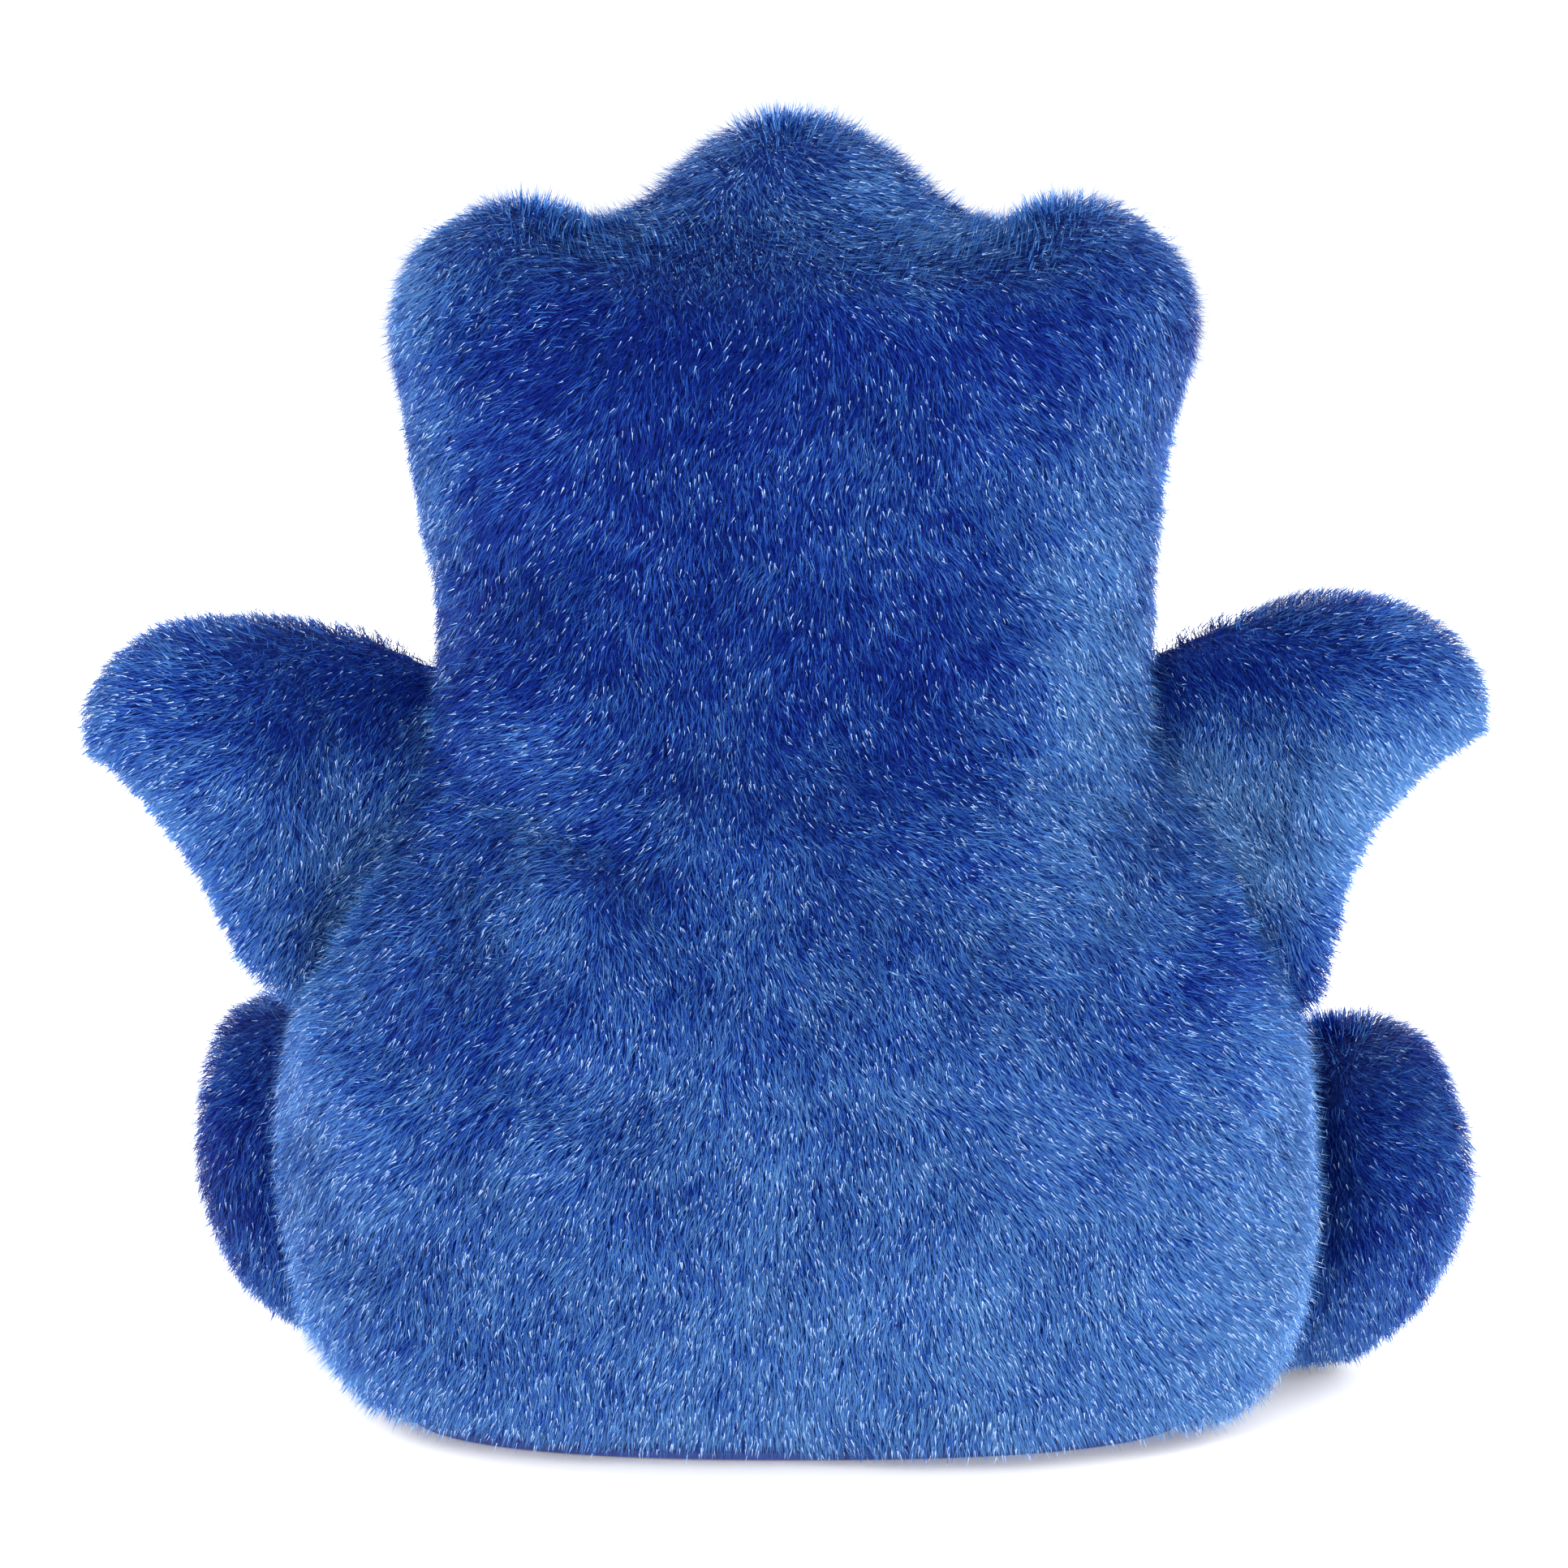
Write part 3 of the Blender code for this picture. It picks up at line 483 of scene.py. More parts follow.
def stuff(thing, cap, seams):
    """Fill a closed skin by cloth pressure: it swells between its seams, by cap at most."""
    start = read(thing.data, "co")
    held = thing.vertex_groups.new(name="seams")
    pinned = np.flatnonzero(seams(to_axis(start)))
    held.add([int(i) for i in pinned], 1.0, "ADD")
    cloth = thing.modifiers.new("stuffing", "CLOTH")
    for key, value in STUFFING.items():
        setattr(cloth.settings, key, value)
    cloth.settings.effector_weights.gravity = 0
    cloth.collision_settings.use_collision = False
    cloth.point_cache.frame_end = STUFFING_FRAMES
    for i in range(1, STUFFING_FRAMES + 1):
        bpy.context.scene.frame_set(i)
    swollen = evaluated_copy(thing)
    moved = read(swollen, "co") - start
    far = np.linalg.norm(moved, axis=1, keepdims=True)
    moved *= np.minimum(1, cap * MM / np.maximum(far, 1e-9))
    thing.modifiers.clear()
    thing.vertex_groups.clear()
    bpy.data.meshes.remove(swollen)
    set_coordinates(thing.data, start + moved)
    bpy.context.scene.frame_set(1)


# ---- Materials


def set_inputs(node, **inputs):
    for key, value in inputs.items():
        node.inputs[key.replace("_", " ").title().replace("Ior", "IOR")].default_value = value
    return node


def add_node(tree, kind, **inputs):
    return set_inputs(tree.nodes.new("ShaderNode" + kind), **inputs)


def new_material(name, roughness, **inputs):
    made = bpy.data.materials.new(name)
    made.use_nodes = True
    shader = made.node_tree.nodes["Principled BSDF"]
    set_inputs(shader, roughness=roughness, **inputs)
    return made, made.node_tree, shader


def mottled(name, roughness, scale, detail, edge, dark, light, stretch=(1, 1, 1), **inputs):
    """A material whose colour goes from dark to light with noise, in metres and without UVs."""
    made, tree, shader = new_material(name, roughness, **inputs)
    place = add_node(tree, "TexCoord").outputs["Object"]
    mapping = add_node(tree, "Mapping", scale=stretch)
    noise = add_node(tree, "TexNoise", scale=scale, detail=detail)
    tree.links.new(place, mapping.inputs["Vector"])
    tree.links.new(mapping.outputs["Vector"], noise.inputs["Vector"])
    ramp = add_node(tree, "ValToRGB")
    stops = ((edge, dark), (1 - edge, light))
    for element, (position, colour) in zip(ramp.color_ramp.elements, stops, strict=True):
        element.position = position
        element.color = (*colour, 1)
    tree.links.new(noise.outputs["Fac"], ramp.inputs["Fac"])
    tree.links.new(ramp.outputs["Color"], shader.inputs["Base Color"])
    return made, tree, shader, noise.outputs["Fac"]


def add_bump(tree, shader, height, strength, distance):
    made = add_node(tree, "Bump", strength=strength, distance=distance)
    tree.links.new(height, made.inputs["Height"])
    tree.links.new(made.outputs["Normal"], shader.inputs["Normal"])


def cloth_material(name, dark, light, thread, roughness, depth=0.0004):
    """Woven cloth: two crossing waves of threads over a soft change of colour."""
    made, tree, shader, _ = mottled(name, roughness, 55.0, 4.0, 0.3, dark, light, sheen_weight=0.25)
    place = add_node(tree, "TexCoord")
    both = add_node(tree, "Math")
    both.operation = "ADD"
    for i, direction in enumerate("XZ"):
        wave = add_node(tree, "TexWave", scale=thread / 6.28, distortion=0.6, detail=1.0)
        wave.bands_direction = direction
        tree.links.new(place.outputs["Object"], wave.inputs["Vector"])
        tree.links.new(wave.outputs["Fac"], both.inputs[i])
    add_bump(tree, shader, both.outputs["Value"], 0.5, depth)
    return made


def felt_material(name, dark, light, roughness=0.95, sheen=0.35):
    """Pressed felt: short matted fibres in every direction."""
    soft = {"sheen_weight": sheen, "specular_ior_level": 0.12}
    made, tree, shader, fibres = mottled(name, roughness, 900.0, 6.0, 0.32, dark, light, **soft)
    add_bump(tree, shader, fibres, 0.45, 0.0006)
    return made


def plastic_material(name, dark, light, roughness, coat):
    """Moulded plastic: an even colour with a slightly uneven gloss."""
    gloss = {"coat_weight": coat, "coat_roughness": 0.04}
    made, tree, shader, grain = mottled(name, roughness, 300.0, 3.0, 0.35, dark, light, **gloss)
    uneven = add_node(tree, "MapRange", to_min=roughness * 0.8, to_max=roughness * 1.3)
    tree.links.new(grain, uneven.inputs["Value"])
    tree.links.new(uneven.outputs["Result"], shader.inputs["Roughness"])
    return made


def board_material(name, dark, light):
    """Pressed grey board: long pale and dark fibres."""
    made, tree, shader, fibres = mottled(name, 0.8, 260.0, 5.0, 0.3, dark, light, (1.0, 5.0, 1.0))
    add_bump(tree, shader, fibres, 0.3, 0.0003)
    return made


def pile_material(index, colour):
    """One tone of the plush's fibres."""
    soft = {"specular_ior_level": 0.1, "sheen_weight": 0.03, "sheen_roughness": 0.35}
    tint = (0.35, 0.55, 1.0, 1)
    return new_material(f"pile_{index}", 0.55, base_color=(*colour, 1), sheen_tint=tint, **soft)[0]


def make_looks():
    cloth, felt, plastic = cloth_material, felt_material, plastic_material
    return {
        "knit": felt("plush_backing", (0.003, 0.014, 0.15), (0.010, 0.045, 0.26), 1.0, 0.05),
        "lining": cloth("sleeve_cloth", (0.012, 0.035, 0.2), (0.02, 0.055, 0.29), 1700, 0.75),
        "mouth": felt("mouth_felt", (0.010, 0.011, 0.025), (0.028, 0.03, 0.055), 1.0, 0.06),
        "tongue": felt("tongue_felt", (0.5, 0.06, 0.09), (0.75, 0.13, 0.17)),
        "eye_white": felt("eye_felt", (0.72, 0.72, 0.70), (0.93, 0.93, 0.91)),
        "thread": cloth("thread", (0.02, 0.06, 0.3), (0.03, 0.1, 0.42), 5000, 0.6, 0.0001),
        "white_thread": cloth("white_thread", (0.7,) * 3, (0.85,) * 3, 5000, 0.6, 0.0001),
        "eye_black": plastic("eye_plastic", (0.004, 0.004, 0.005), (0.009, 0.009, 0.011), 0.09, 1),
        "washer": plastic("washer_plastic", (0.70, 0.71, 0.72), (0.8, 0.8, 0.8), 0.35, 0.1),
        "board": board_material("pressed_board", (0.07, 0.07, 0.075), (0.13, 0.13, 0.135)),
        "pile": [pile_material(i, colour) for i, colour in enumerate(TONES)],
    }


LOOKS = make_looks()


# ---- Pile


def waves(points, size, seed):
    """Smooth random values from about -1 to 1 over space, with features of a size in mm."""
    own = np.random.default_rng(seed)
    count = 9
    total = np.zeros(len(points))
    for _ in range(count):
        direction = own.normal(size=3)
        direction *= own.uniform(0.6, 1.5) * 2 * math.pi / size / np.linalg.norm(direction)
        total += np.sin(points @ direction + own.uniform(0, 2 * math.pi))
    return total / math.sqrt(count)


def unit(vectors):
    return vectors / np.maximum(np.linalg.norm(vectors, axis=1, keepdims=True), 1e-9)


def blob(points, centre, radii):
    """1 at a point and 0 away from it, with a soft edge."""
    away = (points - np.array(centre)) / np.array(radii)
    return np.exp(-np.sum(away**2, axis=1))


def sample(mesh, density):
    """Points spread evenly over a mesh, in millimetres, and the smooth normals there."""
    mesh.calc_loop_triangles()
    corners = np.zeros(len(mesh.loop_triangles) * 3, dtype=np.int32)
    mesh.loop_triangles.foreach_get("vertices", corners)
    corners = corners.reshape(-1, 3)
    points, normals = to_axis(read(mesh, "co")), read(mesh, "normal")
    a, b, c = (points[corners[:, k]] for k in range(3))
    areas = np.linalg.norm(np.cross(b - a, c - a), axis=1) / 2
    total = np.cumsum(areas)
    count = int(total[-1] * density)
    at = (np.arange(count) + rng.random(count)) / count * total[-1]
    chosen = np.minimum(np.searchsorted(total, at), len(areas) - 1)
    u, v = rng.random(count), rng.random(count)
    over = u + v > 1
    u[over], v[over] = 1 - u[over], 1 - v[over]
    weights = np.stack([1 - u - v, u, v], axis=1)[:, :, None]
    place = np.sum(points[corners[chosen]] * weights, axis=1)
    facing = np.sum(normals[corners[chosen]] * weights, axis=1)
    return place, unit(facing)


def clumps(points):
    """Where the strands near each point gather, and a random number from 0 to 1 for how much."""
    key = np.floor(points / CLUMP_CELL).astype(np.int64)
    mixed = (key[:, 0] * 73856093) ^ (key[:, 1] * 19349663) ^ (key[:, 2] * 83492791) ^ 977
    values = []
    for step in (1, 2, 3):
        mixed = (mixed * 6364136223846793005 + 1442695040888963407 + step) & 0x7FFFFFFFFFFFFFFF
        values.append(((mixed >> 24) & 0xFFFF) / 65535)
    values = np.stack(values, axis=1)
    return (key + 0.5) * CLUMP_CELL + (values - 0.5) * CLUMP_CELL * 0.8, values[:, :1]


def strands(roots, normals, flow, length, bright):
    """Each strand's root, bend and tip, with a shorter tip where it carries a painted highlight,
    and whether it strays.
    """
    count = len(roots)
    along = flow - np.sum(flow * normals, axis=1, keepdims=True) * normals
    upright = 1 - np.clip(np.linalg.norm(along, axis=1) / PARTING, 0, 1)
    along = unit(along)
    aside = np.cross(normals, along)
    swing = np.radians(16) * waves(roots, 34, 5) + np.radians(11) * waves(roots, 9, 6)
    swing = (swing + np.radians(13) * rng.normal(size=count))[:, None]
    along = along * np.cos(swing) + aside * np.sin(swing)
    stray = rng.random(count) < STRAY_SHARE
    lift = 1 + 0.20 * waves(roots, 22, 7) + 0.20 * rng.normal(size=count)
    root_angle = np.radians(np.clip(ROOT_ANGLE * lift + 24 * upright, 35, 86))
    tip_angle = np.radians(np.clip(TIP_ANGLE * lift + 40 * stray + 50 * upright, 10, 82))
    size = length * (0.72 + 0.38 * rng.random(count)) * (1 + 0.16 * stray)
    share = np.where(bright, GLINT_ROOT_SHARE, ROOT_SHARE)

    def reach(size, angle):
        turn = angle[:, None]
        return size[:, None] * (along * np.cos(turn) + normals * np.sin(turn))

    start = roots - normals * 0.4
    bend = start + reach(size * share, root_angle)
    tip = bend + reach(size * (1 - share), tip_angle)
    centre, value = clumps(roots)
    pull = centre - roots
    pull -= np.sum(pull * normals, axis=1, keepdims=True) * normals
    pull *= CLUMP_PULL * (0.5 + value)
    bend += pull * 0.4
    tip += pull
    for points in (start, bend, tip):
        points[:, 2] = np.maximum(points[:, 2], FLOOR_CLEARANCE)
    return start, bend, tip, stray


def ribbon_object(name, start, bend, tip, normals, fringe, tone, bright):
    """Flat tapering strands as one mesh: two triangles to the bend and one to the tip."""
    count = len(start)
    across = unit(np.cross(tip - start, normals))
    twist = np.radians(rng.uniform(-50, 50, count))[:, None]
    side = unit(across * np.cos(twist) + normals * np.sin(twist))
    wide, narrow = (half * (0.8 + 0.4 * rng.random(count))[:, None] for half in STRAND_HALF_WIDTH)
    edges = [start - side * wide, start + side * wide, bend - side * narrow, bend + side * narrow]
    corners = to_world(np.stack([*edges, tip], axis=1).reshape(-1, 3))
    triangles = np.array([(0, 1, 3), (0, 3, 2), (2, 3, 4)])
    faces = (np.arange(count)[:, None, None] * 5 + triangles).reshape(-1, 3)
    mesh = bpy.data.meshes.new(name)
    mesh.from_pydata(corners, [], faces.tolist(), shade_flat=False)
    for look in LOOKS["pile"]:
        mesh.materials.append(look)
    # Painted shade: each strand's root triangles take a darker tone than its tip, for the shade
    # deep in the pile.
    root_tone = np.clip(np.floor((tone - 0.09) * RIM_LIGHT_TONE).astype(int), 0, RIM_LIGHT_TONE - 1)
    step = 1 + (root_tone > 0) + (rng.random(count) < 0.15)
    # Painted rim light: the tips of stray strands at the outline take the rim tone.
    tip_tone = np.where(fringe, RIM_LIGHT_TONE, np.clip(root_tone + step, 0, RIM_LIGHT_TONE - 1))
    # Painted highlight: glint strands take the pale glint tone at their tips.
    tip_tone = np.where(bright, GLINT, tip_tone)
    slots = np.stack([root_tone, root_tone, tip_tone], axis=1).astype(np.int32)
    mesh.polygons.foreach_set("material_index", slots.ravel())
    return link(name, mesh)


def grow(skin, flow_of, tone_of, bare, pieces, length=STRAND_LENGTH, front=1.0, trimmed=()):
    """Grow the pile on a skin, thinner in front. pieces: name, which roots, how it is attached."""
    roots, normals = sample(skin.data, DENSITY)
    thinned = (roots[:, 1] < -6) & (rng.random(len(roots)) > front)
    kept = ~(bare(roots, normals) | thinned)
    roots, normals = roots[kept], normals[kept]
    count = len(roots)
    tone = tone_of(roots, normals) + 0.045 * waves(roots, 60, 10) + 0.055 * waves(roots, 18, 11)
    tone = tone + 0.05 * waves(roots, 6, 12) + 0.18 * rng.normal(size=count)
    for centre, radii, share in trimmed:
        length = length * (1 - share * blob(roots, centre, radii))
    # Painted highlight: some strands get glint tips, more of them in the lighter tone.
    bright = rng.random(count) < GLINTS[0] + GLINTS[1] * np.clip(tone, 0, 1) ** 1.5
    start, bend, tip, stray = strands(roots, normals, flow_of(roots, normals), length, bright)
    # Painted rim light: stray strands at the outline and on top-facing pile get the light rim tone
    # at their tips.
    sideways = np.clip(1 - 2.2 * np.abs(normals[:, 1]), 0, 1)
    outline = np.maximum(sideways, 0.5 * np.clip(normals[:, 2], 0, 1))
    fringe = stray & (rng.random(count) < 0.85 * outline)
    left = np.ones(count, dtype=bool)
    for name, takes, attach in pieces:
        mine = left & takes(roots)
        left &= ~mine
        if not mine.any():
            continue
        if mine.sum() > STRANDS_PER_PIECE:
            print(f"{name} has {mine.sum()} strands, over {STRANDS_PER_PIECE}")
        shape = (start[mine], bend[mine], tip[mine], normals[mine], fringe[mine])
        made = ribbon_object(name, *shape, tone[mine], bright[mine])
        attach(made)
    print(skin.name, "strands", count, "left over", int(left.sum()))


# ---- How pieces are attached


def rides(body):
    return lambda thing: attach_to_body(thing, body)


def axis_place(x, y, z):
    return tuple(float(v) for v in to_world((x, y, z)))


def bends_with_head(thing):
    low, high = NECK_BEND
    axis_place(0, 0, low)
    axis_place(0, 0, high)
    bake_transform(thing)


def bends_with_jaw(thing):
    start, end = axis_place(0, JAW_Y, JAW_Z + 1.5), axis_place(0, JAW_Y, JAW_Z - 1.5)
    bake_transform(thing)


def wear(thing, attach, slot, *nodes):
    """Attach a piece and hide the CAD nodes that it stands for. The slot is not used."""
    attach(thing)
    if nodes:
        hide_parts(*nodes)


# ---- The body and head

# The pile's tone by height, painted light and shade: lighter low on the back, darker at the neck
# and head, lighter on the crown.
# Then patches of painted light and shade, lighter on bulges, at the sides and on top, darker in
# folds, hollows and beside the arms: middle, radii, change.
BACK_PAINTED_LIGHT = [
    (0, 0.68), (36, 0.65), (50, 0.61), (62, 0.58), (84, 0.47), (106, 0.44), (128, 0.25),
    (150, 0.17), (168, 0.21), (190, 0.19), (208, 0.13), (222, 0.36), (245, 0.45),
]
PAINTED_LIGHT_PATCHES = [
    ((-54, 30, 148), (17, 60, 30), 0.51),
    ((-56, 30, 182), (16, 60, 18), 0.26),
    ((-62, 30, 206), (10, 60, 12), 0.22),
    ((68, 20, 178), (8, 50, 34), 0.34),
    ((70, 30, 212), (8, 40, 12), 0.25),
    ((74, 36, 120), (9, 50, 20), -0.20),
    ((-75, 36, 112), (8, 50, 20), -0.16),
    ((58, 50, 77), (20, 50, 16), -0.20),
    ((32, 44, 114), (9, 50, 14), -0.15),
    ((46, 44, 106), (9, 50, 7), 0.18),
    ((48, 44, 132), (14, 50, 8), 0.10),
    ((30, 20, 215), (20, 40, 8), -0.13),
    ((-80, 30, 92), (10, 50, 9), -0.20),
    ((-38, 44, 116), (22, 50, 16), 0.14),
    ((-88, 20, 52), (20, 60, 34), 0.14),
    ((52, 50, 42), (36, 50, 28), -0.18),
    ((-62, 50, 84), (26, 50, 18), -0.10),
    ((-30, 50, 56), (16, 50, 14), -0.05),
    ((64, 10, 220), (13, 30, 11), 0.10),
    ((-10, 0, 226), (16, 40, 12), 0.12),
]
# Where the pile is cut shorter, under the chin: middle, radii, how much shorter.
TRIMMED = [((0, -38, 143), (46, 26, 11), 0.65)]
# Where the nap turns aside: middle, radii, the direction added to it.
COMBED = [
    ((50, 44, 124), (20, 40, 15), (1.7, 0, 0.3)),
    ((-16, 6, 226), (17, 26, 13), (-2.2, 0.4, 0.6)),
    ((52, 30, 190), (26, 40, 26), (0.75, 0, 0)),
    ((-46, 40, 140), (18, 30, 16), (0.5, 0, 0)),
    ((46, 50, 74), (22, 30, 14), (0.7, 0, 0.1)),
    ((-60, 50, 50), (30, 40, 36), (-0.35, 0, 0)),
    ((-22, 44, 112), (48, 40, 44), (-0.65, 0, 0)),
]
# Folds on the back: two ends in X and Z, half width, depth.
CREASES = [
    ((68, 130), (30, 113), 6.5, 3.8),
    ((62, 79), (24, 68), 9, 2.8),
    ((-60, 96), (-80, 62), 9, 2.6),
    ((80, 92), (62, 62), 9, 2.2),
    ((34, 118), (22, 96), 7, 1.8),
]
# Hollows, and bulges where the depth is negative: middle, radii, depth.
HOLLOWS = [
    ((45, 44, 72), (22, 30, 12), 1.8),
    ((-48, 36, 143), (18, 26, 18), -3.2),
    ((50, 40, 137), (14, 24, 11), -1.8),
    ((44, 44, 106), (15, 30, 9), -2.6),
    ((0, 34, 212), (30, 20, 10), 1.8),
    ((0, -38, 145), (42, 24, 12), 3.0),
]
MAIN_NODES = [
    "body_back_skin", "body_front_skin", "neck_skin", "throat_skin", "head_back_skin",
    "head_side_left_skin", "head_side_right_skin", "snout_skin", "dome_skin",
    "cheek_left_gusset", "cheek_right_gusset", "body_back_stuffing", "body_front_stuffing",
    "crown_stuffing", "head_back_padding",
]


def torso_rings():
    angles = spread(0, 352.5, 48)
    rings = []
    for z in (3.8, 6, 8, 14, 22, 34, 50, 64, 77, 88, 96, 105, 113, 121, 128, 136, THROAT_TOP):
        low = max(1 - z / 17, 0) ** 1.7
        ring = []
        for a in angles:
            toward = math.cos(math.radians(a))
            share = min(abs(toward) * 3, 1)
            rounding = SEAT_ROUNDING["left" if toward > 0 else "right"] * share
            rounding += SEAT_ROUNDING["middle"] * (1 - share)
            ring.append(body_point(a, z, SKIN_DEPTH + rounding * low))
        rings.append(ring)
    for height in spread(147, 176, 8):
        opened = min((height - THROAT_TOP) / (172 - THROAT_TOP), 1)
        ring = []
        for a in angles:
            x, y, _ = body_point(a, min(height, 170), SKIN_DEPTH)
            ring.append((x, y * (1 - opened) + 4 * opened if y < 0 else y, height))
        rings.append(ring)
    return rings


def head_rings():
    turns = [0, 0.25, 0.5, 0.75, 1.0, 1.08, 1.18, 1.3]
    turns += [turn_at(share) for share in spread(0.8, 0.08, 10)]
    return [[head_point(a, t, SKIN_DEPTH) for a in spread(0, 355, 72)] for t in turns]


def main_seams(points):
    """Where the panels are sewn: the sides, the hem, the neck and round the mouth."""
    x, y, z = points.T
    sides = (np.abs(y) < 2.6) & (np.abs(x) > 45) & (z < 200)
    mouth = (z < 186) & (z > 170) & (y < 2)
    back = (np.abs(np.abs(x) - 46) < 2.5) & (y > 10) & (z > 172)
    return sides | (z < 6) | mouth | back


def crease(points, normals, start, end, width, depth):
    """A soft fold: a groove along a line on the back, with a low ridge on either side of it."""
    start, end = np.array(start), np.array(end)
    run = end - start
    flat = points[:, [0, 2]]
    t = np.clip(((flat - start) @ run) / (run @ run), 0, 1)
    away = np.linalg.norm(flat - (start + t[:, None] * run), axis=1)
    fade = np.sin(np.pi * np.clip(t, 0.02, 0.98)) ** 0.7
    shape = (1 - (away / width) ** 2) * np.exp(-((away / width) ** 2))
    on_back = points[:, 1] > 8
    return points - normals * (depth * shape * fade * on_back)[:, None]


def hollow(points, normals, centre, radii, depth):
    return points - normals * (depth * blob(points, centre, radii))[:, None]


def lean(points):
    """How far the head has tipped toward the puppet's left, in X; the mouth's edges stay put."""
    x, y, z = np.asarray(points, float).T
    rise = np.clip((z - 118) / 26, 0, 1) + 0.5 * np.clip((z - 170) / 25, 0, 1)
    rise -= 1.1 * np.clip((z - 208) / 14, 0, 1)
    free = np.maximum(np.clip((z - 195) / 15, 0, 1), np.clip((y + 25) / 25, 0, 1))
    return HEAD_LEAN * rise * free


def settled(points, normals):
    """The folds and soft bulges of a plush body that has been sat down."""
    for fold in CREASES:
        points = crease(points, normals, *fold)
    for place in HOLLOWS:
        points = hollow(points, normals, *place)
    points += normals * (0.8 * waves(points, 46, 21) + 0.35 * waves(points, 19, 22))[:, None]
    points[:, 0] += lean(points)
    points[:, 2] = np.maximum(points[:, 2], 1.0)
    return points


def cut_hand_opening(thing):
    """Open the underside where the hand goes in."""
    body = bmesh.new()
    body.from_mesh(thing.data)
    half_width, half_depth = BODY_SECTIONS[0][1] - 12, BODY_SECTIONS[0][2] - 12
    inside = []
    for face in body.faces:
        x, y, z = to_axis(face.calc_center_median())
        if z < 8 and abs(x / half_width) ** OVAL_POWER + abs(y / half_depth) ** OVAL_POWER < 1:
            inside.append(face)
    bmesh.ops.delete(body, geom=inside, context="FACES")
    body.to_mesh(thing.data)
    body.free()


def in_mouth(points):
    """Whether points are between the mouth's two linings."""
    x, y, z = points.T
    forward = JAW_Y - y
    half = np.array([mouth_half_width(f, 2.0) for f in np.clip(forward, 0, MOUTH_LENGTH)])
    upper = JAW_Z + forward * math.tan(math.radians(UPPER_TILT)) + 3.0
    lower = JAW_Z + forward * math.tan(math.radians(LOWER_TILT)) - 4.0
    return (forward > -1) & (np.abs(x) < half) & (z < upper) & (z > lower)


def bare_main(points, normals):
    """Where no pile grows: the seat, inside the mouth and under the eyes."""
    bare = (points[:, 2] < 7) & (normals[:, 2] < -0.75) | in_mouth(points)
    for sign in SIDES.values():
        place, facing, _, _ = eye_frame(sign)
        away = points - np.array(place)
        ahead = away @ np.array(facing)
        radial = np.linalg.norm(away - ahead[:, None] * np.array(facing), axis=1)
        bare |= (radial < EYE_CLEAR_RADIUS) & (np.abs(ahead) < 9)
    return bare


def flow_main(points, normals):
    """The nap runs down the body and off the head's top, and fans out to the sides."""
    flow = combed((0.0, 0.0, -1.0), 0.42 / 90)(points, normals)
    flow[:, 1] = 0.35 * np.clip((points[:, 2] - 200) / 20, 0, 1)
    for centre, radii, turn in COMBED:
        flow += blob(points, centre, radii)[:, None] * np.array(turn)
    return flow


def painted_light_main(points, normals):
    """Painted light and shade as the pile's tone: lighter low on the back, on top-facing pile and
    at bulges, where the lying pile catches the light; darker where it stands.
    """
    heights, tones = zip(*BACK_PAINTED_LIGHT, strict=True)
    tone = np.interp(points[:, 2], heights, tones)
    # Painted light on pile that faces up.
    tone += 0.22 * np.clip(normals[:, 2], 0, 1) ** 2
    for centre, radii, change in PAINTED_LIGHT_PATCHES:
        tone += change * blob(points, centre, radii)
    return tone


def main_pieces():
    """The pile's pieces: name, which roots, by height, face and side, and how each is attached."""
    low, high = NECK_BEND
    cuts = {"back": (-10, 40, 84, low), "front": (-10, 50, 98, low)}
    rows = []
    for face, heights in cuts.items():
        parts = zip(("low", "mid", "high"), heights[:-1], heights[1:], strict=True)
        rows += [(f"pile_{face}_{part}", *span, face, 0, rides("body")) for part, *span in parts]
    rows += [(f"pile_neck_{face}", low, high, face, 0, bends_with_head) for face in cuts]
    for face in cuts:
        for side, sign in SIDES.items():
            rows.append((f"pile_head_{face}_{side}", high, 300, face, sign, rides("head")))

    def taker(z_from, z_to, face, sign):
        def takes(points):
            x, y, z = points.T
            on_face = (y >= 0) == (face == "back")
            return (z >= z_from) & (z < z_to) & on_face & (x * sign >= 0)

        return takes

    return [(name, taker(*place), attach) for name, *place, attach in rows]


def make_main_skin():
    """The plush skin of the body, the neck and the head in one, without the jaw and the limbs."""
    skin = loft_object("main_skin", [torso_rings(), head_rings()], LOOKS["knit"])
    remesh(skin, 3.6, 3)
    stuff(skin, 2.2, main_seams)
    reshape(skin, settled)
    changed(skin, "SMOOTH", iterations=1, factor=0.5)
    subdivide(skin)
    cut_hand_opening(skin)
    thin = {"front": FRONT_SHARE, "trimmed": TRIMMED}
    grow(skin, flow_main, painted_light_main, bare_main, main_pieces(), **thin)
    wear(skin, bends_with_head, "blue_fur", *MAIN_NODES)


# ---- The jaw and the limbs


def combed(nap, fan=0.0):
    """A flow of the pile in one direction, which fans out with X."""
    return lambda points, normals: np.array(nap) + points * (fan, 0, 0)


def make_limb(body, rings, voxel, rounds, cap, seams, look_of, nodes, shaped=None):
    """A stuffed skin of its own body, and its pile.

    look_of: where it is bare, the flow of its pile, its tone and the strands' length.
    """
    bare, flow, tone, length = look_of
    skin = loft_object(f"{body}_skin", [rings], LOOKS["knit"])
    remesh(skin, voxel, rounds)
    stuff(skin, cap, seams)
    if shaped:
        reshape(skin, shaped)
    subdivide(skin)
    wear(skin, rides(body), "blue_fur", *nodes)
    pieces = [(f"pile_{body}", lambda roots: np.isfinite(roots[:, 2]), rides(body))]
    grow(skin, flow, tone, bare, pieces, length)


